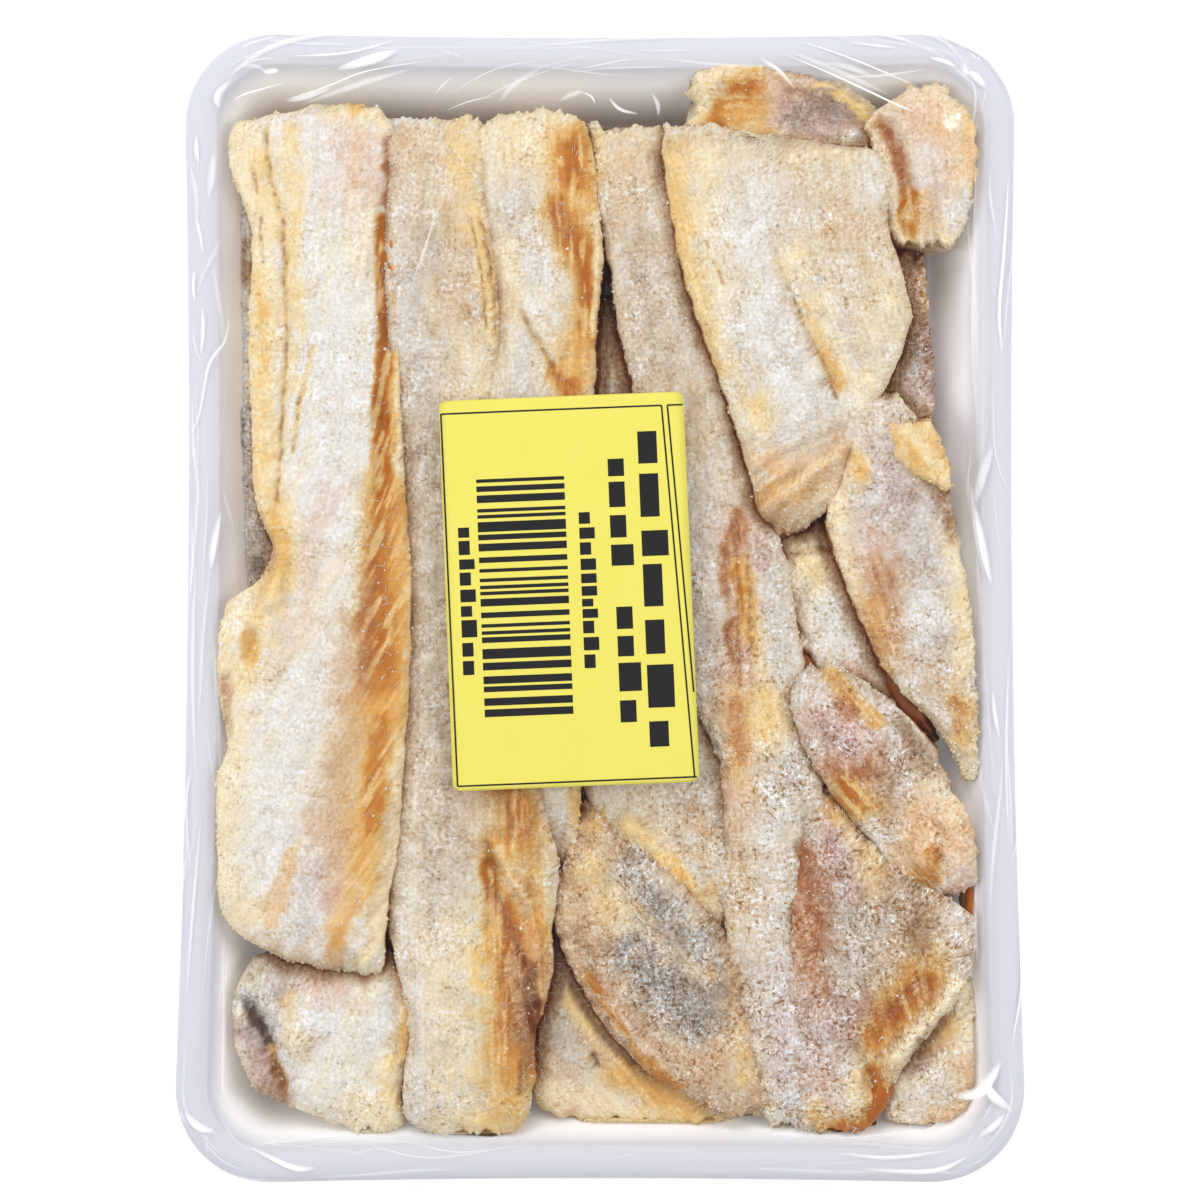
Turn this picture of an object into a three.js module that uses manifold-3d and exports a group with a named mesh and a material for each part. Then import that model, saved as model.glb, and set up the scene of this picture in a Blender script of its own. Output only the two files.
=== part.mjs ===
// Salted fish fillets in a shop pack: strips and offcuts side by side on a white foam tray,
// clear stretch film drawn over all of it, and a paper label on the film.
// Millimetres. The pack lies flat: +X is its right and +Y its top as it is read from above, +Z is up.
// The origin is under the middle of the pack, on the surface that it rests on.
import * as THREE from "three";
import { mergeVertices } from "three/addons/utils/BufferGeometryUtils.js";
import Module from "manifold-3d";

const wasm = await Module();
wasm.setup();

// The pack
const TRAY_WIDTH = 161;
const TRAY_LENGTH = 220;
const RIM_TOP = 20;
const CORNER_RADIUS = 19;
const SIDE_WAIST = 2.0; // the stretched film pulls the middle of each long side in by this much
const END_WAIST = 1.3; // and the middle of each short side by this much
const FILM = 0.3; // the film and the label are drawn thicker than life, so that each is a sound solid
const GAP = 0.35; // clearance between touching pieces
const FILM_CROWN = 4.0; // how far the filled middle lifts the film above the rim
const FILM_SAG = 0.35; // how far a flat facet of the film may dip under its dome
const TRAY_BASE = FILM + GAP; // underside of the tray
const TRAY_FLOOR = 4.0; // upper face of the tray's floor
const REST = TRAY_FLOOR + GAP; // underside of a piece that lies on the floor

const MIDDLE_INSET = 40; // innermost ring of the flat faces
const ABOVE_ALL = 40; // a height above everything in the pack

// The tray's section as [inset from the rim's outer edge, height], from under its base round to its floor
const TRAY_PROFILE = [
  [MIDDLE_INSET, TRAY_BASE],
  [15.5, TRAY_BASE],
  [13, 1.4],
  [6, 14.6],
  [4.4, 16],
  [1.2, 15.9],
  [0.2, 16.8],
  [0.3, 18.6],
  [1.5, 19.6],
  [3.6, RIM_TOP],
  [5.6, 19.6],
  [7.4, 17.8],
  [13.6, 6.4],
  [15.2, 4.6],
  [18, TRAY_FLOOR],
  [MIDDLE_INSET, TRAY_FLOOR],
];

// The space above the tray's floor and walls that food can fill, as [inset, height]
const HOLLOW_PROFILE = [
  [MIDDLE_INSET, REST],
  [18.2, REST],
  [15.7, 4.9],
  [14.1, 6.6],
  [7.9, 18.1],
  [5.8, 20],
  [3.6, RIM_TOP + GAP],
  [3.6, ABOVE_ALL],
  [MIDDLE_INSET, ABOVE_ALL],
];

// Steps round the tray's outline
const CORNER_STEPS = 4;
const SIDE_STEPS = 6;
const END_STEPS = 5;
const LEAST_RADIUS = 3;

// Insets of the film's rings over the food, and its way over the rim and under the base
const FILM_INSETS = [70, 51, 34, 20, 10];
const RIM_CROWN_INSET = 3.4;
const UNDER_INSET = 36; // how far the film is drawn in under the base
const FILM_OUTSIDE = [
  [0.9, 20.3],
  [-0.5, 18.9],
  [-0.6, 16.4],
  [11.8, 0.7],
  [13.6, 0],
  [UNDER_INSET, 0],
];
const FILM_INSIDE = [
  [1.05, 20.0],
  [-0.2, 18.8],
  [-0.3, 16.5],
  [12.1, 0.9],
  [13.8, FILM],
  [UNDER_INSET, FILM],
];

// The label, a turned rectangle on the film
const LABEL_WIDTH = 46.2;
const LABEL_HEIGHT = 73.6;
const LABEL_CENTRE = [-5.9, 1.4];
const LABEL_TURN = 2.3; // degrees anticlockwise
const LABEL_THICKNESS = 0.4;
const LABEL_COLUMNS = 4;
const LABEL_ROWS = 6;

// The section of a piece and the steps of its surface
const LONGEST_SPAN = 11; // a longer stretch between two rows is divided evenly
const AROUND = 12; // points round a section, more on the broad pieces
const BOXINESS = 3.0; // exponent of the section: 2 is an ellipse, more is a box with round edges
const SHOULDER = 0.66; // share of its height at which a section is widest
const END_ROUND = 7; // length over which an end rounds off
const END_LEAST = 0.3; // share of its height that an end face keeps
const LUMP = 0.7; // height of the uneven lumps in the flesh
const LUMP_CELL = [5, 13]; // their size across and along

// The pieces in the order in which they keep their shape: each is cut clear of those before it. The low
// pieces come first, so that what lies on them is hollowed to fit, then the rest from the top of the pile.
// A row is [y, left edge, right edge], and [x, lower edge, upper edge] on a piece that lies across the pack.
const PIECES = [
  {
    name: "left_under_piece",
    crown: 13.6,
    rows: [
      [78, -70.6, -64], [74.8, -72.2, -59], [68.1, -71.8, -57], [60.5, -70.7, -57], [55.8, -69.2, -57],
      [47.2, -70.3, -57], [33.9, -70.7, -57], [24.4, -69.2, -57], [14.9, -70.1, -57], [7.3, -70.3, -57],
      [2, -67.3, -59],
    ],
  },
  {
    name: "brown_strip",
    crown: 14,
    rows: [
      [69.6, 54.2, 62.7], [62.4, 54.3, 63.3], [51, 54, 63.8], [39.6, 54, 64.4], [32, 54.7, 64.6],
      [22.5, 55.1, 63.7],
    ],
  },
  {
    name: "skin_under_piece",
    crown: 15,
    rows: [
      [-56.3, -7, -3.4], [-63, -8.4, 3.8], [-68.7, -9.5, 7.6], [-76.3, -10.3, 15.2], [-83.9, -11.2, 19],
      [-90.6, -11.4, 25.7], [-95.3, -10.3, 27], [-98.3, -6.7, 26.2], [-100.6, 7.6, 19],
    ],
  },
  {
    name: "yellow_flake",
    floor: 17,
    crown: 23,
    boxiness: 2.3,
    rows: [
      [33.7, 56.2, 61.8], [31.1, 54.3, 64.2], [27.3, 56.6, 65.7], [23.5, 60.8, 66.9], [20.6, 64.2, 66.9],
    ],
  },
  {
    name: "left_fillet",
    crown: 22.6,
    around: 18,
    rows: [
      [95.3, -52, -43.3], [92.8, -69.4, -40.3], [89, -71.6, -39], [79.5, -70.9, -38.8],
      [70, -68.4, -39.3], [56.7, -68.8, -38.8], [37.7, -68.4, -37.8], [22.5, -66.5, -36.9],
      [14.9, -64.2, -36.3], [9.2, -61.6, -35.9], [3.5, -64.2, -35.7], [-0.3, -70.8, -35.7],
      [-7.9, -73.4, -35.5], [-19.3, -72.6, -36.1], [-27.8, -69.9, -36.5], [-32.6, -72.8, -36.9],
      [-47.8, -72.6, -37.8], [-57.3, -72.4, -39.7], [-63, -68.4, -40.1], [-67.7, -59.9, -40.3],
      [-71, -47.5, -41.8],
    ],
    creases: [
      { depth: 4.5, width: 2.4, path: [[-63.5, 89], [-63, 82], [-59.9, 71], [-60.2, 40], [-60.6, 13]] },
      { depth: 2.4, width: 3.4, path: [[-39.5, 85], [-41.6, 64], [-41.4, 47], [-41.8, 28], [-40.9, 11]] },
      { depth: 2.2, width: 2.4, path: [[-64, -8], [-69, -13.6], [-69.6, -26]] },
    ],
  },
  {
    name: "leaf_flap",
    floor: 11,
    crown: 22.4,
    boxiness: 2.5,
    rows: [
      [40.9, 47.5, 54.3], [37.7, 46.2, 58.1], [32, 46.2, 62.5], [25.4, 46, 64.9], [21, 44.8, 66],
      [17.8, 42.9, 66.7], [14, 42.6, 67.6], [9.2, 44.1, 68.4], [-4.1, 49.4, 70.5], [-11.7, 52.8, 71.1],
      [-17.4, 56.6, 71.3], [-22.1, 61.8, 71.3], [-27.8, 66.1, 71.3], [-34.1, 68.8, 71.6],
    ],
  },
  {
    name: "broad_fillet",
    crown: 22.8,
    around: 18,
    rows: [
      [89.6, 12.4, 24], [88.2, 11.8, 40], [86.8, 11.6, 55.4], [79.5, 12.4, 55.5], [71.9, 13.9, 54.9],
      [67.2, 14.6, 56.2], [60.5, 16.2, 58.5], [52.9, 18.6, 59.5], [47.2, 20.9, 57.6], [39.6, 23.2, 54.3],
      [33.9, 25.3, 50.5], [28.2, 27, 47.5], [22.5, 28.9, 46], [17.8, 29.1, 44.1], [14.2, 31.2, 40.3],
      [12.6, 34, 38],
    ],
    creases: [
      { depth: 2.4, width: 2, path: [[33.3, 63.9], [37, 56.7], [40.9, 50.1], [44.7, 42.5], [46, 36.8]] },
      { depth: 1.8, width: 2, path: [[29, 22.5], [34, 25], [45, 27]] },
    ],
  },
  {
    name: "corner_tail",
    floor: 7,
    crown: 21.6,
    boxiness: 2.5,
    rows: [
      [97.4, 61.5, 66.4], [95.5, 57, 69.5], [92.4, 53.2, 72], [87.1, 54, 73.2], [81.4, 55.7, 72.8],
      [75.7, 55.5, 71.1], [71, 55.3, 69.5], [68.1, 56.4, 67.8], [66.6, 59.5, 64.5],
    ],
    creases: [{ depth: 2.6, width: 3, path: [[56.5, 92], [58.5, 84], [59.5, 75], [58, 69]] }],
  },
  {
    name: "middle_right_piece",
    floor: 8,
    crown: 21.8,
    boxiness: 2.6,
    rows: [
      [-11.7, 40.3, 43.9], [-14, 37.4, 47.9], [-17.8, 35.5, 54], [-22.1, 36.3, 58.5], [-26.5, 37.6, 63.1],
      [-31.6, 39.9, 64.6], [-36.4, 43.3, 66.9], [-42.1, 47.9, 70.3], [-47.8, 52.6, 71.3],
      [-53.5, 57.4, 71.3], [-56.9, 60.4, 67.5],
    ],
    creases: [{ depth: 1.6, width: 3, path: [[58, -23], [62, -32], [66, -40]] }],
  },
  {
    name: "second_strip",
    crown: 20.8,
    rows: [
      [93.4, -38.5, -23.2], [90.9, -39.5, -22], [83.3, -38.4, -21.9], [75.7, -38.8, -21.5],
      [66.2, -39.2, -20.1], [58.6, -38.8, -19.2], [51, -38.2, -19], [37.7, -37.6, -19.8],
      [18.7, -36.5, -18.6], [-0.3, -35.5, -16.2], [-19.3, -35.7, -12.9], [-36.4, -36.3, -10.8],
      [-49.7, -37.6, -8.9], [-61.1, -37.6, -10.3], [-72.5, -34.8, -10.3], [-82, -33.4, -12],
      [-91.5, -34.6, -12.4], [-97.6, -34.4, -13.3], [-102.2, -28, -17.5],
    ],
    creases: [
      { depth: 1.6, width: 1.6, path: [[-25, 70], [-21.9, 58.6], [-21.4, 38]] },
      { depth: 2.2, width: 2, path: [[-22.8, -51], [-20.9, -61], [-22.8, -69]] },
    ],
  },
  {
    name: "fourth_strip",
    crown: 19.6,
    rows: [
      [90.3, -1.2, 12.4], [83.3, 0.2, 12.6], [75.7, 0.4, 13.2], [68.1, 1.3, 14.5], [60.5, 2.3, 16.2],
      [52.9, 3.4, 18.5], [45.3, 5.3, 21.1], [37.7, 7, 23.4], [28.2, 8.6, 26.8], [18.7, 10.1, 30.1],
      [7.3, 11.4, 33.3], [-4.1, 12.9, 35.2], [-15.5, 16, 37.1], [-23.1, 19.4, 38.2], [-30.7, 22.8, 40.1],
      [-47.8, 23.2, 39], [-63, 23.4, 37.1], [-72.5, 25.1, 37.1], [-83.9, 28.3, 39], [-94.3, 29.3, 40.9],
      [-99.5, 32.3, 39],
    ],
    creases: [{ depth: 1.6, width: 2.4, path: [[25.5, 14], [27.4, 0], [26, -15], [26.5, -32]] }],
  },
  {
    name: "lower_right_fillet",
    crown: 20.6,
    rows: [
      [-34.1, 40, 43], [-38.3, 38.6, 46], [-44, 37.2, 50.9], [-49.7, 35.7, 55.5], [-55.4, 33.8, 63.7],
      [-60.1, 32.3, 70.2], [-64.9, 31.9, 70.4], [-70.6, 31.5, 69.2], [-76.3, 31.9, 66.1],
      [-81, 32.3, 61.8], [-85.8, 32.7, 58], [-90, 33.4, 54.7], [-95.3, 34.6, 52.1], [-100.6, 38, 49.8],
    ],
    creases: [
      { depth: 2, width: 2.2, path: [[47.5, -84], [51, -90], [53, -95]] },
      { depth: 1.4, width: 2.4, path: [[41, -47], [43, -60], [42, -72]] },
    ],
  },
  {
    name: "third_strip",
    crown: 20.4,
    rows: [
      [94.6, -13.4, -7.4], [92.4, -21.4, -3], [89, -21.9, -1.9], [81.4, -21.7, -0.4], [73.8, -21.3, 0.4],
      [66.2, -20.4, 0.8], [58.6, -19.2, 0.2], [49.1, -19.2, -0.8], [37.7, -19.8, -0.9],
      [18.7, -18.4, -1.7], [-0.3, -16, -2.5], [-19.3, -12.8, -3], [-36.4, -10.7, -3.6], [-44, -9.9, -4],
      [-51.2, -8.8, -6],
    ],
    creases: [{ depth: 2, width: 1.8, path: [[-15.6, 54.4], [-11.4, 48.2], [-4.8, 40.6]] }],
  },
  {
    name: "centre_strip",
    crown: 19.4,
    crownAtStart: 13.5,
    rows: [
      [59.6, -1, 3.4], [51, -1.6, 5.2], [39.6, -1.4, 8.4], [24.4, -2.1, 10.3], [7.3, -2.9, 12.6],
      [-9.8, -3.3, 15.1], [-23.1, -2.9, 19.8], [-34.5, -2.1, 24], [-40.2, 0.9, 24.2], [-45.9, 5.5, 24.4],
      [-51.6, 10.4, 24.6], [-57.3, 16.5, 24.7], [-63, 21, 24.9],
    ],
  },
  {
    name: "skin_leaf",
    floor: 9,
    crown: 19.2,
    boxiness: 2.5,
    rows: [
      [-37.3, -1.9, 0.4], [-44, -2.3, 4.6], [-49.7, -4.4, 9.9], [-55.4, -6.3, 16], [-61.1, -6.5, 20.9],
      [-66.8, -5.1, 23.6], [-72.5, -3.6, 25.3], [-78.2, -0.8, 27], [-83.9, 3.4, 28.5], [-89.6, 9.5, 29.1],
      [-94.3, 17.5, 28.9], [-97.6, 21.9, 27],
    ],
    creases: [{ depth: 1.2, width: 2.6, path: [[3, -54], [11, -66], [18, -80], [24, -91]] }],
  },
  {
    name: "bottom_left_piece",
    crown: 18.4,
    rows: [
      [-64.9, -64.2, -39], [-69.6, -67.1, -35.7], [-73.4, -68.8, -34.6], [-78.2, -69.6, -34],
      [-83.9, -68.8, -34.4], [-88.1, -67.3, -35.2], [-92.4, -65.4, -37.4], [-95.3, -58.9, -37.6],
      [-98.7, -49.4, -36.4], [-101.7, -43, -37.8],
    ],
    creases: [{ depth: 3.6, width: 2.6, path: [[-66.1, -76.3], [-64.2, -80.1], [-59.9, -90.5]] }],
  },
  {
    name: "top_tail",
    floor: 6,
    crown: 17.6,
    across: true,
    boxiness: 2.4,
    rows: [
      [17.5, 94, 98.2], [19.4, 90.9, 101.4], [23.2, 88.3, 102.7], [27.7, 87.1, 102.9],
      [33.3, 86.7, 100.8], [39, 86.5, 98.7], [44.7, 86.4, 97.9], [49.8, 86, 96.2], [53.2, 85.6, 93.6],
      [55.1, 86, 90.5],
    ],
    creases: [{ depth: 2, width: 3, path: [[29, 98], [34, 94], [46, 92]] }],
  },
  {
    name: "tucked_strip",
    crown: 18,
    rows: [
      [17.8, 32.9, 44.7], [11.1, 32.3, 47.5], [1.6, 32.5, 50.5], [-5, 34.4, 53.6], [-10.7, 37.2, 56.1],
      [-17.4, 37.6, 59.9], [-23.1, 41.4, 62.1], [-26.5, 49, 62.7],
    ],
  },
  {
    name: "bottom_corner_piece",
    floor: 5,
    crown: 17.6,
    rows: [
      [-67.7, 68.4, 71.4], [-73.4, 66.9, 72], [-78.2, 64.2, 72], [-82.9, 60.8, 72.2], [-88.1, 57.8, 72.2],
      [-92.4, 55.7, 71.4], [-96.2, 54.7, 70.7], [-99.5, 56.1, 65.6],
    ],
  },
];

// A point of the plan pulled in where the film waists the tray's sides and ends.
function waisted(x, y) {
  const alongSide = 1 - (2 * y / TRAY_LENGTH) ** 2;
  const alongEnd = 1 - (2 * x / TRAY_WIDTH) ** 2;
  return [
    x * (1 - SIDE_WAIST * alongSide * 2 / TRAY_WIDTH),
    y * (1 - END_WAIST * alongEnd * 2 / TRAY_LENGTH),
  ];
}

// The outline of the tray moved in by an inset, as a ring of points; a function of x and y gives their height.
function outlineRing(inset, heightAt) {
  const halfX = TRAY_WIDTH / 2 - inset;
  const halfY = TRAY_LENGTH / 2 - inset;
  const radius = Math.min(Math.max(CORNER_RADIUS - inset, LEAST_RADIUS), halfX);
  const quarters = [[1, 1], [-1, 1], [-1, -1], [1, -1]];
  const corners = quarters.map(([sideX, sideY], quarter) =>
    Array.from({ length: CORNER_STEPS + 1 }, (_, i) => {
      const angle = (quarter + i / CORNER_STEPS) * Math.PI / 2;
      return new THREE.Vector2(
        sideX * (halfX - radius) + radius * Math.cos(angle),
        sideY * (halfY - radius) + radius * Math.sin(angle),
      );
    }));
  const flat = corners.flatMap((corner, quarter) => {
    const steps = quarter % 2 ? SIDE_STEPS : END_STEPS;
    const start = corner.at(-1);
    const end = corners[(quarter + 1) % 4][0];
    const side = Array.from({ length: steps - 1 }, (_, i) => start.clone().lerp(end, (i + 1) / steps));
    return [...corner, ...side];
  });
  return flat.map((point) => {
    const [x, y] = waisted(point.x, point.y);
    return new THREE.Vector3(x, y, heightAt(x, y));
  });
}

// Closed rings of equal length joined into one closed surface, with a fan over the first and the last ring.
function loft(rings) {
  const count = rings[0].length;
  const centre = (ring) => ring.reduce((sum, p) => sum.add(p), new THREE.Vector3()).divideScalar(count);
  const points = [...rings.flat(), centre(rings[0]), centre(rings.at(-1))];
  const startFan = rings.length * count;
  const lastRing = (rings.length - 1) * count;
  const index = [];
  for (let k = 0; k < count; k++) {
    const next = (k + 1) % count;
    index.push(startFan, next, k, startFan + 1, lastRing + k, lastRing + next);
    for (let r = 0; r < rings.length - 1; r++) {
      const a = r * count;
      const b = a + count;
      index.push(a + k, a + next, b + next, a + k, b + next, b + k);
    }
  }
  return new THREE.BufferGeometry().setFromPoints(points).setIndex(index);
}

function solidOf(geometry) {
  const merged = mergeVertices(geometry);
  return new wasm.Manifold(new wasm.Mesh({
    numProp: 3,
    vertProperties: new Float32Array(merged.getAttribute("position").array),
    triVerts: new Uint32Array(merged.index.array),
  }));
}

function geometryOf(solid) {
  const mesh = solid.getMesh();
  const geometry = new THREE.BufferGeometry();
  geometry.setAttribute("position", new THREE.BufferAttribute(new Float32Array(mesh.vertProperties), 3));
  geometry.setIndex(new THREE.BufferAttribute(new Uint32Array(mesh.triVerts), 1));
  geometry.computeVertexNormals();
  return geometry;
}

// A cut can leave loose crumbs; the piece itself is the largest body.
function largestBody(solid) {
  return solid.decompose().reduce((best, body) => (body.volume() > best.volume() ? body : best));
}

// Height of the film's outer face over the food: a flat-topped dome that starts from the rim's crown.
function filmTop(x, y) {
  const halfX = TRAY_WIDTH / 2 - RIM_CROWN_INSET;
  const halfY = TRAY_LENGTH / 2 - RIM_CROWN_INSET;
  const rise = Math.max(0, 1 - (x / halfX) ** 4) * Math.max(0, 1 - (y / halfY) ** 4);
  return RIM_TOP + GAP + FILM + FILM_CROWN * rise;
}

function trayGeometry() {
  return loft(TRAY_PROFILE.map(([inset, z]) => outlineRing(inset, () => z)));
}

// The film as one thin shell, left open under the middle of the base.
function filmGeometry() {
  const overFood = [...FILM_INSETS, RIM_CROWN_INSET];
  const flatRing = ([inset, z]) => outlineRing(inset, () => z);
  return loft([
    ...overFood.map((inset) => outlineRing(inset, (x, y) => filmTop(x, y) - FILM)),
    ...FILM_INSIDE.map(flatRing),
    ...FILM_OUTSIDE.toReversed().map(flatRing),
    ...overFood.toReversed().map((inset) => outlineRing(inset, filmTop)),
  ]);
}

// A thin sheet that lies on the film's dome.
function labelGeometry() {
  const geometry = new THREE.BoxGeometry(
    LABEL_WIDTH, LABEL_HEIGHT, LABEL_THICKNESS, LABEL_COLUMNS, LABEL_ROWS, 1,
  );
  geometry.rotateZ(THREE.MathUtils.degToRad(LABEL_TURN));
  geometry.translate(...LABEL_CENTRE, GAP + LABEL_THICKNESS / 2);
  const position = geometry.getAttribute("position");
  for (let i = 0; i < position.count; i++) {
    position.setZ(i, position.getZ(i) + filmTop(position.getX(i), position.getY(i)));
  }
  geometry.deleteAttribute("normal");
  geometry.deleteAttribute("uv");
  return mergeVertices(geometry);
}

// The two edges of a piece at a place along it, on smooth curves through its rows.
function edgesAt(rows, along) {
  const descending = rows[0][0] > rows.at(-1)[0];
  const ahead = rows.findIndex(([place]) => (descending ? place <= along : place >= along));
  const i = Math.max(1, ahead < 0 ? rows.length - 1 : ahead);
  const [before, from, to, after] = [i - 2, i - 1, i, i + 1].map(
    (k) => rows[THREE.MathUtils.clamp(k, 0, rows.length - 1)],
  );
  const span = to[0] - from[0];
  const t = THREE.MathUtils.clamp((along - from[0]) / span, 0, 1);
  return [1, 2].map((edge) => {
    const slopeIn = (to[edge] - before[edge]) / (to[0] - before[0]) * span;
    const slopeOut = (after[edge] - from[edge]) / (after[0] - from[0]) * span;
    return (2 * t ** 3 - 3 * t ** 2 + 1) * from[edge] + (t ** 3 - 2 * t ** 2 + t) * slopeIn
      + (3 * t ** 2 - 2 * t ** 3) * to[edge] + (t ** 3 - t ** 2) * slopeOut;
  });
}

// Depth of the creases at a point: each is a round-bottomed groove along its path.
function creaseDepth(creases, x, y) {
  const point = new THREE.Vector3(x, y, 0);
  return creases.reduce((sum, { path, width, depth }) => {
    const distances = path.slice(1).map(([x1, y1], i) => {
      const stretch = new THREE.Line3(new THREE.Vector3(...path[i], 0), new THREE.Vector3(x1, y1, 0));
      return stretch.closestPointToPoint(point, true, new THREE.Vector3()).distanceTo(point);
    });
    return sum + depth * Math.exp(-((Math.min(...distances) / width) ** 2));
  }, 0);
}

// Uneven lumps: smoothly blended random heights on a grid of cells, from -1 to 1.
function lumps(x, y) {
  const random = (i, j) => {
    const value = Math.sin(i * 127.1 + j * 311.7) * 43758.5453;
    return 2 * (value - Math.floor(value)) - 1;
  };
  const u = x / LUMP_CELL[0];
  const v = y / LUMP_CELL[1];
  const i = Math.floor(u);
  const j = Math.floor(v);
  const s = THREE.MathUtils.smoothstep(u - i, 0, 1);
  const t = THREE.MathUtils.smoothstep(v - j, 0, 1);
  const low = THREE.MathUtils.lerp(random(i, j), random(i + 1, j), s);
  const high = THREE.MathUtils.lerp(random(i, j + 1), random(i + 1, j + 1), s);
  return THREE.MathUtils.lerp(low, high, t);
}

// The places of a piece's sections: its rows, with long stretches between them divided.
function stations(rows) {
  return rows.flatMap(([place], i) => {
    if (i === 0) return [place];
    const before = rows[i - 1][0];
    const parts = Math.ceil(Math.abs(place - before) / LONGEST_SPAN);
    return Array.from({ length: parts }, (_, k) => THREE.MathUtils.lerp(before, place, (k + 1) / parts));
  });
}

// A piece of fish: a rounded-box section carried along its rows, with round ends, creases and lumps on top.
// A grown copy is larger all round, to cut clearance in the pieces beside and under it.
function pieceGeometry(piece, grow = 0) {
  const { rows, crown, across, creases = [] } = piece;
  const { floor = REST, crownAtStart = crown, boxiness = BOXINESS, around = AROUND } = piece;
  const places = stations(rows);
  const start = places[0];
  const end = places.at(-1);
  const heading = Math.sign(end - start);
  const bowed = (value) => Math.sign(value) * Math.abs(value) ** (2 / boxiness);
  const rings = places.map((place) => {
    const [low, high] = edgesAt(rows, place);
    const fromEnd = Math.min(1, Math.abs(place - start) / END_ROUND, Math.abs(end - place) / END_ROUND);
    const full = END_LEAST + (1 - END_LEAST) * (1 - (1 - fromEnd) ** boxiness) ** (1 / boxiness);
    const top = THREE.MathUtils.mapLinear(place, start, end, crownAtStart, crown);
    const widest = THREE.MathUtils.lerp(floor, top, SHOULDER);
    const along = place + heading * grow * (Number(place === end) - Number(place === start));
    return Array.from({ length: around }, (_, k) => {
      const angle = 2 * Math.PI * k / around;
      const side = (low + high) / 2 + ((high - low) / 2 + grow) * bowed(Math.cos(angle));
      const [x, y] = across ? [along, side] : [side, along];
      const rise = Math.sin(angle);
      const reach = (rise > 0 ? top - widest : widest - floor) * full + grow;
      const relief = Math.max(0, rise) * (LUMP * lumps(x, y) - creaseDepth(creases, x, y));
      const ceiling = filmTop(x, y) - FILM - FILM_SAG - GAP + grow;
      return new THREE.Vector3(x, y, Math.min(widest + reach * bowed(rise) + relief, ceiling));
    });
  });
  return loft((heading > 0) === Boolean(across) ? rings : rings.toReversed());
}

// The pieces in their places, each held inside the tray and cut clear of those before it.
function packedPieces() {
  const hollow = solidOf(loft(HOLLOW_PROFILE.map(([inset, z]) => outlineRing(inset, () => z))));
  const placed = [];
  return PIECES.map((piece) => {
    let solid = solidOf(pieceGeometry(piece)).intersect(hollow);
    placed.forEach((neighbour) => {
      solid = solid.subtract(neighbour);
    });
    placed.push(solidOf(pieceGeometry(piece, GAP)));
    return { name: piece.name, geometry: geometryOf(largestBody(solid)) };
  });
}

const foam = new THREE.MeshStandardMaterial({ color: "#f2f3f5", roughness: 0.7, metalness: 0 });
const clearFilm = new THREE.MeshStandardMaterial({
  color: "#f6f8fa", roughness: 0.1, metalness: 0, transparent: true, opacity: 0.2,
});
const labelPaper = new THREE.MeshStandardMaterial({ color: "#f3e96b", roughness: 0.6, metalness: 0 });
const saltedFlesh = new THREE.MeshStandardMaterial({ color: "#dccfb8", roughness: 0.75, metalness: 0 });
const yellowFlesh = new THREE.MeshStandardMaterial({ color: "#e3c083", roughness: 0.65, metalness: 0 });
const skinSide = new THREE.MeshStandardMaterial({ color: "#a89c8e", roughness: 0.75, metalness: 0 });

const FLESH = {
  yellow_flake: yellowFlesh,
  top_tail: yellowFlesh,
  corner_tail: yellowFlesh,
  skin_leaf: skinSide,
  skin_under_piece: skinSide,
  brown_strip: skinSide,
  left_under_piece: skinSide,
};

function named(name, geometry, material) {
  const mesh = new THREE.Mesh(geometry, material);
  mesh.name = name;
  return mesh;
}

const pack = new THREE.Group();
pack.add(named("foam_tray", trayGeometry(), foam));
packedPieces().forEach(({ name, geometry }) => pack.add(named(name, geometry, FLESH[name] ?? saltedFlesh)));
pack.add(named("film", filmGeometry(), clearFilm));
pack.add(named("label", labelGeometry(), labelPaper));

export default pack;
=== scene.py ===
"""Salted fish fillets in a film-wrapped foam tray: the looks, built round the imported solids.

Lengths are millimetres until a mesh is made. The pack lies flat: +X is its right and +Y its top as it is
read from above, and z = 0 is the surface that it rests on.
"""
import functools
import itertools
import math

import bpy
import numpy as np
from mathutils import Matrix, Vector


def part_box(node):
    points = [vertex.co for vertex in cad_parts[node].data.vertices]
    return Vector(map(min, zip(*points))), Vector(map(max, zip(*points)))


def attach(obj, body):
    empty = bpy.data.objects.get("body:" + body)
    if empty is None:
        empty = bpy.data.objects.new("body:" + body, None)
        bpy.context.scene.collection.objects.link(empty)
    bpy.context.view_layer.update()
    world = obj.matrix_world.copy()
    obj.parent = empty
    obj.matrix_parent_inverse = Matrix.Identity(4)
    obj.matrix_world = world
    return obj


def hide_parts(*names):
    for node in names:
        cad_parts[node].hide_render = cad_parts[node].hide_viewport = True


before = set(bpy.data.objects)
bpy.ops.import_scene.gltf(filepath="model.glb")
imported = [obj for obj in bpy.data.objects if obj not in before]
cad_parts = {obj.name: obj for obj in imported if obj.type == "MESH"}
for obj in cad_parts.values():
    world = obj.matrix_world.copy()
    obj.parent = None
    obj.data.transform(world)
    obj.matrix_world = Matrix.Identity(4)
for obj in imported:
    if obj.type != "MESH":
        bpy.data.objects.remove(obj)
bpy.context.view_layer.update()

MM = 0.001
RANDOM = np.random.default_rng(11)

# The tray and the film round it, from the same driving sizes as the solids
HALF_WIDTH = 80.5
HALF_LENGTH = 110.0
CORNER_RADIUS = 19.0
LEAST_RADIUS = 3.0  # of a corner, however far the plan is moved in
SIDE_WAIST = 2.0  # the stretched film pulls the middle of each long side in by this much
END_WAIST = 1.3  # and the middle of each short side by this much
RIM_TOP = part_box("foam_tray")[1].z / MM
RIM_CROWN_INSET = 3.4  # from the rim's outer edge to its highest line
FILM_GAP = 0.25  # the film stands this far off what it covers
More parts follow.
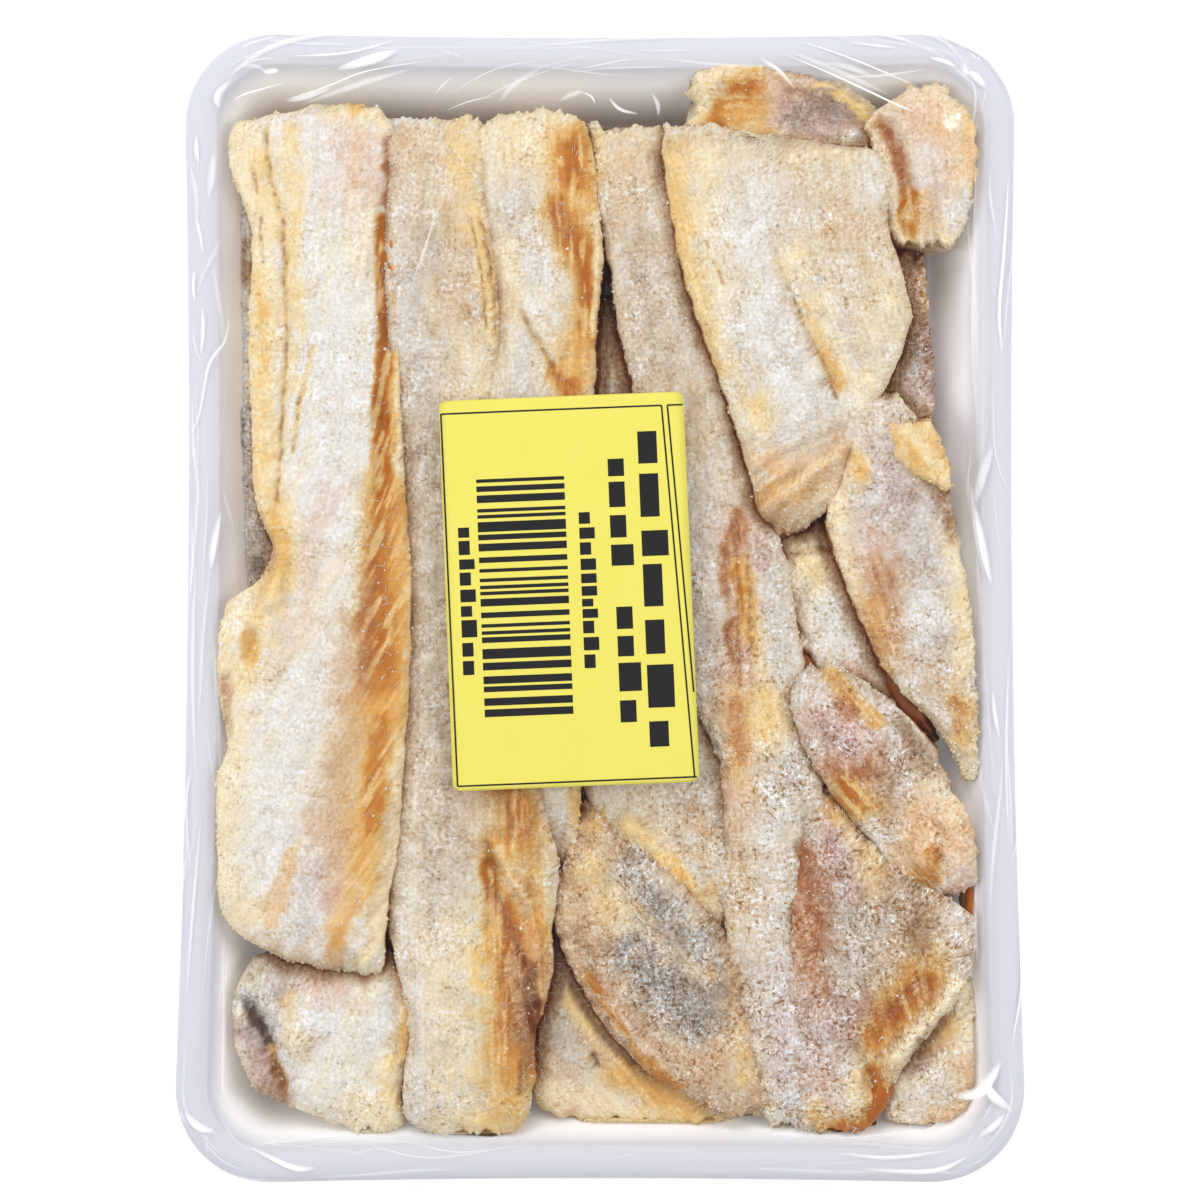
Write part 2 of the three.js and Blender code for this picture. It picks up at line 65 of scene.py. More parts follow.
# The tray's section as (inset, height): from under its base up to the rim, and down inside to its floor
TRAY_OUTSIDE = [
    (40, 0.65), (15.5, 0.65), (13, 1.4), (6, 14.6), (4.4, 16), (1.2, 15.9), (0.2, 16.8), (0.3, 18.6),
    (1.5, 19.6),
]
TRAY_INSIDE = [(3.6, 20), (5.6, 19.6), (7.4, 17.8), (13.6, 6.4), (15.2, 4.6), (18, 4), (40, 4)]
WALL_GAP = 0.35  # what lies in the tray stays this far off its wall
# The film's section as (inset, height) from the rim's crown round under the base
FILM_SECTION = [
    (RIM_CROWN_INSET, RIM_TOP + FILM_GAP), (1.0, 20.0), (-0.3, 18.9), (-0.5, 16.6), (3.4, 11.4), (7.5, 6.0),
    (11.8, 0.6), (13.8, 0.02), (36, 0.02),
]
# The film's height near its edge, as (inset, height)
FILM_SHOULDER = [(-0.5, 17.4), (0.1, 19.1), (1.0, 20.0), (2.2, 20.2), (RIM_CROWN_INSET, RIM_TOP + FILM_GAP)]
FILM_UNDER = 12  # past this inset the film is drawn flat under the base
FILM_CREASES = 400 / 1.7  # fine creases in the film round the tray's side
FILM_GRID = (341, 251)  # rows and columns of the grid that the film's height over the fish is worked out on
FILM_STEP = 2  # the film's mesh takes every second point of that grid
FILM_REACH = 3  # it lies over the highest point within this many cells of that grid
FILM_START = 3.5  # it starts this high above the rim,
FILM_SETTLING = 700  # settles on the fish in this many steps
FILM_SMOOTHING = 60  # and is smoothed in this many more
FILM_HELD = 5  # its slack fades out within this many cells of the rim

SECTION_STEPS = 4  # along each stretch of a section
STREAK_STEPS = 12  # along each stretch of a fold's path
# How many steps an outline takes along each corner, side and end
TRAY_STEPS = (14, 40, 30)
FILM_STEPS = (40, 190, 140)
RIM_STEPS = (40, 120, 90)

FOLDS_ROUND = 110  # fine stretch folds that run round the rim, each with the next five drawn at random, its sheen a painted highlight:
FOLD_LENGTH = (0.008, 0.045)  # as a share of the way round
FOLD_INSET = (0.4, 9.5)
FOLD_DRIFT = 2.0  # how far in or out it runs
FOLD_SHEEN = (0.1, 0.4)
FOLD_WIDTH = (0.25, 1.1)
FOLD_GRID = (21, 7)  # points along and across a fold
RIM_BAND = 15  # insets are measured from the plan towards the plan moved in by this much
# The stretch folds that stand out, as (sheen, width, path): the sheen is how milky white a fold is drawn, a
# painted highlight for the gloss it catches
FILM_STREAKS = [
    (0.9, 0.6, [(-60.4, 104.3), (-48.5, 105.1), (-38.4, 107.9)]),
    (0.6, 1.4, [(-71.3, 100.7), (-65, 105.1), (-58.3, 107.7), (-47.9, 109.4)]),
    (0.85, 2.4, [(-50.5, 101.6), (-44, 103.6), (-38.5, 105.6)]),
    (0.8, 0.4, [(-60.8, 95.2), (-52.4, 98), (-44.3, 101.3), (-29.6, 103.9)]),
    (0.5, 1.6, [(-60, 95.2), (-56, 96.2), (-51, 98)]),
    (0.35, 1.4, [(-57, 94.5), (-46, 98.6), (-36, 101.8)]),
    (0.6, 1.7, [(-72.8, 93.9), (-73.2, 96.7), (-70.7, 99.8)]),
    (0.7, 0.5, [(-70.5, 95.2), (-68.2, 96.7), (-64.6, 97.7), (-59.3, 99.2)]),
    (0.8, 1.3, [(-64.6, 101.2), (-61.4, 101.6)]),
    (0.6, 0.3, [(-31.7, 96.3), (-30, 98.4), (-28.1, 100.1)]),
    (0.6, 0.3, [(-29.6, 93.1), (-25, 95), (-19.8, 96.3)]),
    (0.4, 0.3, [(-29.6, 95.8), (-20.3, 101.5), (-8.7, 104.1)]),
    (0.3, 1.3, [(-19.2, 94.8), (-16.5, 98.4), (-10.3, 102.6)]),
    (0.35, 0.3, [(-25, 94), (-16, 99), (-4, 103.4)]),
    (0.7, 0.5, [(-3.6, 97.1), (-1.6, 96), (-0.8, 94.4)]),
    (0.35, 1.2, [(-8, 95), (-5, 96.6), (-3, 97)]),
    (0.7, 0.8, [(1.5, 96), (3.8, 93.5), (7.4, 92.5)]),
    (0.45, 1.0, [(9.9, 96.7), (11, 94.5), (11.2, 92)]),
    (0.9, 0.4, [(37.3, 107.7), (48, 103.9), (62.4, 97.3)]),
    (0.95, 0.5, [(34.7, 105.1), (44.3, 100.7), (56, 94.8), (60.8, 92.7)]),
    (0.35, 1.5, [(36, 105.4), (45, 101.4), (56, 96)]),
    (0.6, 1.0, [(30.4, 104.1), (34.2, 101.3), (37.3, 97.5)]),
    (0.4, 1.6, [(43, 103), (48, 102), (53, 100)]),
    (0.8, 0.6, [(46.9, 107.2), (53.2, 106.4), (57, 106)]),
    (0.6, 0.9, [(52, 109), (57, 108), (61.4, 106.4)]),
    (0.8, 1.1, [(62.9, 104.1), (66, 103.4), (68.4, 102.3)]),
    (0.7, 1.1, [(64, 109), (71.4, 106), (74.7, 103.4)]),
    (0.85, 1.8, [(70.6, 101.6), (72.4, 100), (73.9, 98)]),
    (0.6, 0.6, [(74.1, 103.9), (77.3, 99.7), (79.2, 95.4)]),
    (0.3, 4.0, [(72.6, 88), (72.4, 66), (72.6, 44), (72, 22)]),
    (0.8, 0.9, [(78.3, 83), (77, 66), (76, 54.5), (76.6, 45.8)]),
    (0.4, 0.3, [(74.9, 46.4), (75, 28.5), (78, 19.2)]),
    (0.5, 2.2, [(74.5, 29), (72.6, 24), (70.9, 18)]),
    (0.85, 1.7, [(70.9, 18), (72.6, 9.3), (74.1, 2.5)]),
    (0.7, 1.0, [(74.1, -17), (74.6, -22), (75.4, -26.4)]),
    (0.5, 0.7, [(77.4, -8), (76.6, -30), (77, -48)]),
    (0.7, 0.6, [(79, -58), (79.2, -71.8), (76.8, -85.5)]),
    (0.95, 2.6, [(66, -93), (71, -92), (75, -86.5)]),
    (0.9, 2.2, [(71, -89.6), (73.4, -93), (77, -96)]),
    (0.8, 1.6, [(70.4, -100.8), (73.6, -98.6), (75.6, -96.4)]),
    (0.9, 2.0, [(-77.6, -96), (-75, -98.6), (-71.6, -99.8)]),
    (0.9, 1.4, [(-66, -102.2), (-57.4, -106.2), (-52.8, -106.4)]),
    (0.6, 0.4, [(-44.8, -101.5), (-32.1, -104.5), (-16.3, -102.4)]),
    (0.5, 0.4, [(-38, -101), (-26, -103.4), (-12, -101.6)]),
    (0.8, 1.0, [(43.7, -103.6), (54.3, -104.5), (65.9, -103)]),
    (0.85, 1.2, [(48, -106.6), (61.8, -107), (69.2, -104.1)]),
    (0.8, 1.0, [(-77.3, 89), (-77.2, 86), (-76.8, 83.4)]),
    (0.4, 1.8, [(-73.9, 86), (-74.3, 81), (-74.9, 76.5)]),
    (0.6, 0.8, [(-77.3, 74), (-76.4, 70), (-75.6, 65.5)]),
    (0.75, 0.8, [(-77.3, 63), (-77.5, 60), (-77.2, 56.5)]),
    (0.75, 0.9, [(-75.8, 56), (-75.6, 51), (-76, 46.4)]),
    (0.5, 0.8, [(-70.3, 54.5), (-71.3, 49), (-74.3, 44.7), (-76.2, 34.8), (-78.6, 29.8)]),
    (0.6, 1.8, [(-71.8, 16.8), (-73.3, 10), (-73.7, 5.4)]),
    (0.4, 1.0, [(-76.6, 10), (-77, -12), (-76.2, -34)]),
    (0.5, 0.7, [(-75, -40), (-76.4, -58), (-77.6, -76)]),
    (0.5, 0.3, [(-35.9, 58.7), (-33.4, 66), (-31, 74)]),
    (0.35, 0.3, [(-34.4, 62), (-32, 70), (-29.8, 77)]),
]

# The fish
SPACING = 0.4  # between neighbouring points of a piece's surface
HEAP_HALF = (68, 93)  # the fish reaches this far across and along; edges out there are in the open, and the painted shade at the feet of steps fades out within this of them
OPEN_EDGE_FADE = (6, 8)  # and less brine gathers within this of them
# Painted shade at the foot of a step, where a higher piece shadows a lower one: its colour, how far it
# reaches from the higher piece, its strength, and the depth below that piece where it starts and in
# which it grows full
STEP_SHADE = ("brown", 3.2, 0.75, 0.35, 2.2)
CREVICE_SHADE = ("ember", 0.8, 0.85, 1.3, 1.4)
HEAP_CELL = 0.4  # of the map of the heap's heights
HEAP_MAP = (560, 440)  # rows and columns of cells in that map
CREASE_WIDTH = 0.75  # a crease narrower than this is drawn as a thin brown line of painted shade
EDGE_ROUND = 2.0  # radius of a piece's upper edge
SAG = 0.9  # its surface falls by this much
SAG_REACH = 8  # over this far to its edge
FOOT_SHARE = 0.2  # its foot is drawn in from the edge by this share of its width,
FOOT_MOST = 3.0  # at most by this much,
WALL_IN = 0.4  # and the middle of its side by this much
END_MARGIN = 0.1  # its ends lie this far inside the solid's, where it still has a section
SIDE_EASING = 14  # its sides take the mean colour over this many points of its edge each way,
CROWN_EASING = 30  # its crown the mean height over this many
EDGE_EASING = 6  # and its edges the mean line over this many
SEED_STEP = 20  # from one piece's seed to the next's
OVER_TOP = np.s_[:, 2:-2]  # the columns of a piece's rings over its top, between two for each side
WET, FROST, GRAIN = 3, 4, 5  # the columns of its dress, after red, green and blue

# Loose things on the fish: how many, and their least and greatest sizes
CRUMBS = 5500
CRUMB_HALF = (0.16, 0.5)
SALT_GRAINS = 2600
GRAIN_HALF = (0.07, 0.21)
SALT_NEEDLES = 6000
NEEDLE_LENGTH = (0.4, 1.0)
NEEDLE_WIDTH = (0.035, 0.065)

# Each colour of the fish: its sRGB hex value, how wet it shines and how much salt lies on it
COLOURS_SEEN = {
    "salt": ("e8e5e1", 0.0, 1.0),
    "white": ("d4ccc0", 0.0, 0.95),
    "lilac": ("d5ccc7", 0.0, 1.0),
    "ivory": ("e2d1b6", 0.0, 0.85),
    "cream": ("f3e0b8", 0.0, 0.7),
    "butter": ("f1ce8b", 0.1, 0.5),
    "peach": ("e8bf92", 0.15, 0.6),
    "honey": ("dfa656", 0.35, 0.4),
    "amber": ("b66519", 0.75, 0.12),
    "rust": ("a4633a", 0.4, 0.5),
    "ember": ("6a300e", 0.6, 0.0),
    "tan": ("d0ae88", 0.0, 0.7),
    "rose": ("d9b39f", 0.1, 0.6),
    "mauve": ("b4938a", 0.1, 0.9),
    "grey": ("b8ac9e", 0.0, 1.0),
    "slate": ("8c8379", 0.0, 0.9),
    "brown": ("8d6848", 0.05, 0.7),
    # painted shadow: the dark brown-grey laid in the deep slit of the bottom left piece
    "slit_shadow": ("55463c", 0.05, 0.3),
}
LIGHT_GAIN = 1.2  # a colour is seen this much lighter than its surface is, under these lights
AMBER_GROUND = (0.82, 0.65, 0.45)  # what the clear flesh between the salt crystals lets through
FLECK_TINT = (0.56, 0.4, 0.26)  # what a fleck lets through of the colour round it
WHITEST_SALT = "f8f6f3"

USUAL_GRAIN = 0.4  # of a piece whose look doesn't say
# How each piece of fish looks. Base is the colour of its ground and rim of its edge. A mark is (colour,
# strength, half-width, path), laid on in turn, and relief is (height, half-width, path), below zero for a
# crease. Frost is how much salt lies on it, and grain, at places along it, how much of that stands in
# grains. Lean is how far its fibres run in x for each step in y, at places along it. Tuck is how far its
# lower and its upper edge are drawn out under its neighbours, at places along it, and reach how far its
# two ends are. Raised lifts its crown, lumpy and silky scale its lumps and its fine fibres, and crumbly
# roughens its edges and marks. Places along a piece are values of y, and of x on the one piece that lies
# across the pack, and an amount that is the same all along a piece is a plain number.
FISH = {}
FISH["left_under_piece"] = dict(
    base="white", rim="salt", grain=0.9, frost=1.1, tuck=(2, 0),
    marks=[
        ("salt", 0.7, 3, [(-71, 75), (-70, 64)]),
        ("grey", 0.4, 3, [(-67, 30), (-68, 10)]),
        ("brown", 0.5, 1.5, [(-68, 70), (-68, 62)]),
        ("white", 0.6, 2, [(-69, 20), (-68.5, 12)]),
        ("slate", 0.9, 1.5, [(-65.5, 7), (-64.3, 5)]),
        ("slate", 0.5, 1.5, [(-69, 36), (-70, 31)]),
    ],
)
FISH["brown_strip"] = dict(
    base="tan", rim="tan", grain=1.1, frost=1.15, raised=1.4, tuck=(2, 0),
    marks=[
        ("peach", 0.4, 2, [(61, 66), (62, 58)]),
        ("mauve", 0.8, 3, [(61, 52), (62, 40)]),
        ("white", 0.5, 2, [(59, 47), (60, 36)]),
        ("slate", 0.5, 2, [(60, 51), (59, 49)]),
        ("brown", 0.4, 1.5, [(58, 65), (59, 56)]),
    ],
)
FISH["skin_under_piece"] = dict(
    base="tan", rim="butter", grain=0.8, frost=0.8, tuck=(2, 2), lean=-0.8,
    marks=[
        ("grey", 0.7, 2.5, [(-8, -76), (-8, -82), (-5, -85)]),
        ("white", 0.6, 3, [(-5, -87), (-2, -90)]),
        ("cream", 0.7, 2.5, [(-7, -66), (-6, -71)]),
        ("butter", 0.8, 1.8, [(-5, -75), (-2, -79.5), (1, -83)]),
        ("honey", 0.9, 2.6, [(4, -89), (8, -91), (12, -93), (16, -95.5)]),
        ("cream", 0.8, 3, [(-10, -92), (-2, -95), (5, -97)]),
        ("butter", 0.6, 2, [(8, -98), (20, -97)]),
        ("slate", 0.8, 0.5, [(-1.2, -86), (-0.6, -87.5)]),
    ],
    relief=[(-1.2, 1.0, [(-5, -73), (0, -81), (6, -87)]), (-1.5, 0.6, [(-1.2, -86), (-0.6, -88)])],
)
FISH["yellow_flake"] = dict(
    base="butter", rim="cream", frost=0.8, lumpy=1.4, raised=2.0, crumbly=0.6,
    tuck=(1.8, 0),
    marks=[("honey", 0.6, 3.4, [(58, 31), (63, 26)]), ("cream", 0.7, 1.2, [(66, 22), (57, 33)])],
)
FISH["left_fillet"] = dict(
    base="salt", rim="cream", grain=0.3, frost=1.0, silky=0.11,
    lean=[(95, 0.05), (50, 0.2), (0, 0.5), (-70, 0.8)],
    tuck=([(18, 0), (30, -1.6), (74, -2), (84, 0)], 0),
    marks=[
        ("cream", 0.8, 4, [(-69, 90), (-66.5, 78)]),
        ("butter", 0.5, 1.6, [(-65, 84), (-63, 76), (-61.5, 70)]),
        ("butter", 0.45, 1.5, [(-59.5, 90), (-58.5, 78), (-58, 64), (-58, 50), (-59, 40)]),
        ("cream", 0.8, 3.4, [(-65, 74), (-65, 62), (-64.5, 50), (-64.5, 36), (-63.5, 24)]),
        ("butter", 0.6, 2.0, [(-65, 60), (-64.5, 48), (-64.5, 36), (-63.5, 24), (-62, 16)]),
        ("honey", 0.35, 1.0, [(-64.5, 56), (-64, 44)]),
        ("butter", 0.9, 2.4, [(-61.5, 16), (-59.8, 10), (-59.6, 4)]),
        ("honey", 0.5, 1.3, [(-61, 14), (-59.6, 9), (-59.6, 5)]),
        ("butter", 0.6, 3, [(-60.5, 2), (-64.5, -5), (-67.5, -14)]),
        ("cream", 0.75, 4, [(-70.5, -4), (-71, -14), (-70, -30), (-70.5, -48), (-67, -60)]),
        ("honey", 0.6, 1.2, [(-65.5, -7), (-66, -11)]),
        ("tan", 0.6, 1.0, [(-70.3, -16), (-70.6, -26)]),
        ("cream", 0.5, 1.6, [(-47.8, 8.5), (-52.5, -1), (-57, -11)]),
        ("cream", 0.4, 4, [(-46, 65), (-48, 56)]),
        ("rose", 0.4, 5, [(-46.5, 88), (-44.5, 80)]),
        ("cream", 0.8, 2.6, [(-50, 94.5), (-43, 93)]),
        ("honey", 0.5, 1.2, [(-48, 95.4), (-46.5, 93.5)]),
        ("salt", 0.6, 4, [(-48, 58), (-50, 40), (-52, 24), (-50, 12)]),
        ("salt", 0.6, 4, [(-48, 0), (-55, -18), (-62, -38), (-64, -50)]),
        ("rose", 0.25, 2, [(-50, 22), (-55, 8), (-57, -8)]),
        ("rust", 0.75, 1.2, [(-40, 88), (-39.6, 81), (-40.4, 76)]),
        ("honey", 0.6, 1.5, [(-39.4, 70), (-39, 50), (-39, 28)]),
        ("amber", 1.0, 1.25, [(-41.3, 72), (-41.7, 66), (-41, 58), (-40.6, 52), (-41.1, 44),
                              (-41.5, 34)]),
        ("amber", 0.9, 1.25, [(-41.5, 34), (-41.2, 24)]),
        ("rust", 0.5, 0.7, [(-42, 67), (-41.3, 58), (-41, 52), (-41.6, 42), (-41.9, 32)]),
        ("cream", 0.7, 0.6, [(-38.3, 66), (-38.1, 50), (-38, 35), (-37.6, 26)]),
        ("tan", 0.85, 3.8, [(-44.5, -6), (-46.5, -26), (-48.8, -40), (-49, -48)]),
        ("honey", 0.85, 2.3, [(-38.4, 20), (-38.2, 8), (-38.6, -6), (-39, -22)]),
        ("amber", 0.8, 2.2, [(-41.4, 22), (-41.6, 12), (-41.8, 2), (-41.6, -8), (-41.4, -18)]),
        ("rust", 0.4, 1.3, [(-43.2, 6), (-44, -6), (-44.6, -18)]),
        ("honey", 0.9, 3.2, [(-41, -20), (-42.4, -34), (-44.2, -48), (-46.2, -56)]),
        ("amber", 0.55, 1.6, [(-41, -24), (-42.8, -42)]),
        ("rose", 0.4, 3, [(-53, -44), (-55, -52)]),
        ("lilac", 0.7, 3.2, [(-53.5, -50), (-55.5, -61)]),
        ("peach", 0.7, 1.3, [(-57.6, -47), (-60, -55), (-61.6, -60)]),
        ("rose", 0.6, 2.2, [(-49, -50), (-50.5, -60)]),
        ("peach", 1.0, 1.7, [(-46, -54), (-47.7, -58.5), (-49.3, -64), (-50, -67)]),
        ("honey", 0.5, 1.0, [(-46.4, -55), (-48, -60), (-49.4, -65)]),
        ("cream", 0.9, 1.4, [(-36.9, -30), (-38, -44), (-40, -56), (-42, -64), (-44.5, -68)]),
    ],
    relief=[
        (-0.7, 0.5, [(-64, 90), (-63, 81), (-60.5, 72), (-60, 64), (-59.6, 48), (-60.5, 32), (-61, 18)]),
        (-0.9, 1.8, [(-63, 81), (-60.5, 72), (-60, 64), (-59.6, 48), (-60.5, 32), (-61, 18)]),
        (-0.5, 0.5, [(-66.5, 83), (-64.8, 74), (-64.3, 64)]),
        (-2.0, 1.5, [(-40, 88), (-39.7, 80), (-41, 73), (-41.6, 66), (-40.6, 56), (-40.4, 48), (-41, 32),
                     (-41.2, 20)]),
        (-1.2, 2.4, [(-41.4, 10), (-41.2, -8), (-41, -18)]),
        (0.8, 0.6, [(-38.2, 68), (-38, 40), (-37.5, 24)]),
        (-1.8, 1.2, [(-65.5, -7), (-66, -11)]),
        (-1.6, 1.0, [(-70.2, -15), (-70.6, -26)]),
        (1.2, 1.8, [(-62, 14), (-60, 8), (-61.5, 0)]),
        (-0.4, 0.5, [(-54.5, 48), (-57, 37), (-58.2, 28)]),
        (0.6, 1.4, [(-40.5, -30), (-42, -48), (-44, -58)]),
    ],
)
FISH["leaf_flap"] = dict(
    base="lilac", rim="cream", grain=0.75, frost=1.0, lean=[(40, -0.3), (-35, -0.35)],
    marks=[
        ("ivory", 0.7, 5, [(49, 39), (52, 34)]),
        ("lilac", 0.8, 6, [(54, 24), (60, 8)]),
        ("grey", 0.4, 5, [(58, 20), (60, 4)]),
        ("mauve", 0.3, 4, [(55, 28), (57, 20)]),
        ("rose", 0.5, 3, [(51, 12), (52, 7)]),
        ("cream", 0.85, 2.2, [(48, 26), (44, 18), (45, 10), (48.5, 2), (52, -6)]),
        ("honey", 0.4, 1.4, [(48.5, 27), (49.5, 22)]),
        ("rust", 0.6, 3, [(53.8, 4), (53.8, -3), (55, -8)]),
        ("honey", 0.4, 2, [(52, -1), (54, -12)]),
        ("salt", 0.8, 3.4, [(60, -2), (61.5, -8)]),
        ("grey", 0.45, 3, [(64, -8), (65.5, -15)]),
        ("cream", 0.8, 2, [(66, 12), (68, 2), (69, -8), (67, -17)]),
        ("butter", 0.25, 2, [(68, 0), (69, -6)]),
        ("tan", 0.6, 3, [(63, -14), (66, -20)]),
        ("honey", 0.65, 2.0, [(68, -20), (68.6, -27)]),
        ("rust", 0.35, 1.0, [(67.6, -20), (67.4, -25)]),
        ("cream", 0.7, 1.5, [(70, -33)]),
        ("brown", 0.45, 2, [(65.5, 20), (67, 14)]),
    ],
    relief=[(-0.8, 2.0, [(47, 28), (51, 33), (57, 36)]), (0.8, 3, [(61, -6)]),
            (-0.7, 2, [(54, 2), (55, -8)])],
)
FISH["broad_fillet"] = dict(
    base="white", rim="cream", frost=1.1, reach=(0, 2),
    lean=[(90, -0.15), (60, -0.3), (36, -0.4), (30, 1.4), (12, 1.4)],
    marks=[
        ("ivory", 0.6, 8, [(22, 84), (50, 84)]),
        ("butter", 0.8, 2.4, [(14.5, 84), (15, 73), (17.5, 63), (19.5, 53), (23, 44)]),
        ("honey", 0.25, 2.0, [(14.5, 86), (15.2, 73), (17.5, 63)]),
        ("cream", 0.6, 4, [(20, 84), (21, 70), (24, 58)]),
        ("cream", 0.5, 2.2, [(36, 85), (44, 86), (48, 85)]),
        ("ivory", 0.7, 5, [(39, 70), (46, 66), (52, 60)]),
        ("tan", 0.35, 7, [(38, 76), (46, 68)]),
        ("salt", 0.7, 5, [(31, 76), (28, 69)]),
        ("salt", 0.8, 5, [(31, 54), (35, 44), (38, 33)]),
        ("salt", 0.6, 3, [(52, 79), (54, 83)]),
        ("cream", 0.6, 3, [(55, 57), (54, 51)]),
        ("cream", 0.6, 2.6, [(37, 66), (40, 58), (43, 50), (46, 42)]),
        ("honey", 0.4, 0.9, [(38.5, 56), (41.5, 50), (44, 45), (46, 40)]),
        ("amber", 0.2, 0.7, [(42.5, 46.5), (45.3, 40)]),
        ("cream", 0.6, 2, [(50, 42), (49, 36)]),
        ("butter", 0.6, 2, [(29, 37), (32, 33.5)]),
        ("white", 0.6, 3, [(36, 31), (42, 33)]),
        ("peach", 0.9, 2.0, [(29.5, 26), (34, 25)]),
        ("peach", 1.0, 4.0, [(45, 26), (38, 21), (31, 17)]),
        ("honey", 0.4, 1.0, [(31, 20), (36, 22.5)]),
        ("honey", 0.4, 0.7, [(32, 16.5), (40, 21)]),
        ("amber", 0.3, 0.8, [(30.5, 19), (33, 20.5)]),
        ("cream", 0.6, 1.0, [(45, 24), (40, 18.5), (35, 14.5)]),
        ("cream", 0.45, 1.4, [(44, 27), (38, 22.5), (32, 19)]),
    ],
    relief=[
        (-0.8, 0.4, [(33.3, 66), (36.6, 57.5), (39.7, 50), (42.4, 45), (45, 38)]),
        (-0.5, 2.0, [(38, 58), (41.5, 50), (45.5, 40)]),
        (0.8, 2.2, [(32, 60), (36, 50), (40, 42)]),
        (-0.3, 0.4, [(20.3, 68), (23.4, 60)]),
        (-0.5, 0.8, [(34.5, 34), (39, 37.5), (45, 36)]),
        (-1.4, 1.1, [(27.5, 22), (33, 25.5), (39, 28.5), (46, 32)]),
        (1.5, 2.6, [(46, 28), (38, 22), (31, 17)]),
        (-0.4, 0.8, [(45, 29.5), (38, 24.5), (31, 20)]),
        (-0.4, 0.8, [(45, 25.5), (38, 20), (32, 15.5)]),
    ],
)
FISH["corner_tail"] = dict(
    base="ivory", rim="cream", grain=0.6, frost=1.0, lumpy=1.6, crumbly=0.7, raised=1.3,
    lean=[(98, 0.1), (66, -0.2)], tuck=([(66, 0.5), (74, 1.6), (90, 2.4)], 0), reach=(-1, 2),
    marks=[
        ("cream", 0.9, 2.4, [(57, 96), (63, 96), (70, 93)]),
        ("rose", 0.6, 5, [(62, 90), (64, 80)]),
        ("butter", 0.7, 2.0, [(71, 91), (71, 84), (70, 79)]),
        ("peach", 0.6, 2.0, [(70, 86), (69, 81)]),
        ("salt", 0.7, 3, [(62, 84), (62, 79)]),
        ("peach", 0.6, 3, [(64, 91), (67, 89)]),
        ("salt", 0.8, 2.4, [(69, 77), (67, 73)]),
        ("rust", 0.75, 1.2, [(53.5, 91), (55.5, 88), (57.8, 81), (59, 76)]),
        ("amber", 0.9, 1.4, [(59, 77), (59.2, 71)]),
        ("peach", 0.7, 1.8, [(62, 76), (63, 71)]),
        ("cream", 0.9, 1.8, [(56.5, 70), (60, 67.5), (66, 68.5)]),
    ],
    relief=[(-2.2, 1.4, [(55.5, 91), (58, 82), (59.2, 75), (58.8, 70)]),
            (0.8, 2.5, [(70.5, 90), (70, 80)])],
)
FISH["middle_right_piece"] = dict(
    base="lilac", rim="ivory", grain=0.95, frost=1.15, lean=[(-12, -0.8), (-57, -0.9)],
    marks=[
        ("salt", 0.6, 3, [(39, -16), (39, -21)]),
        ("rose", 0.75, 4.5, [(43, -24), (49, -30)]),
        ("mauve", 0.75, 3, [(43, -25), (47, -30)]),
        ("honey", 0.75, 1.4, [(43, -14.5), (47, -18.5), (52, -22.5)]),
        ("rust", 0.5, 1.3, [(45.5, -19), (48, -22)]),
        ("rust", 0.75, 1.8, [(43.5, -32), (46, -34.5), (50, -32.5)]),
        ("amber", 1.0, 2.2, [(46.5, -36.5), (50, -40)]),
        ("honey", 0.5, 2, [(51, -38), (53, -42)]),
        ("brown", 0.55, 3, [(58, -27), (62, -31)]),
        ("brown", 0.5, 3, [(54, -35), (56, -43)]),
        ("white", 0.7, 2.5, [(53, -46), (51, -43)]),
        ("cream", 0.8, 2.5, [(63, -36), (66, -40)]),
        ("peach", 0.95, 4.4, [(61, -42), (60, -49), (66, -45)]),
        ("ember", 0.9, 1.1, [(55.5, -16.5), (59, -21.5), (62.5, -26.5)]),
        ("amber", 0.55, 1.2, [(60, -51.5), (62.3, -53), (62.8, -48)]),
        ("rose", 0.6, 2.5, [(68, -54), (66, -55)]),
    ],
    relief=[(-1.4, 1.6, [(57, -24), (62, -33)]), (1.0, 2.5, [(60.5, -47), (61.5, -52)]),
            (-1.0, 0.8, [(63.5, -43), (64, -52)]), (0.7, 2.5, [(66, -43)])],
)
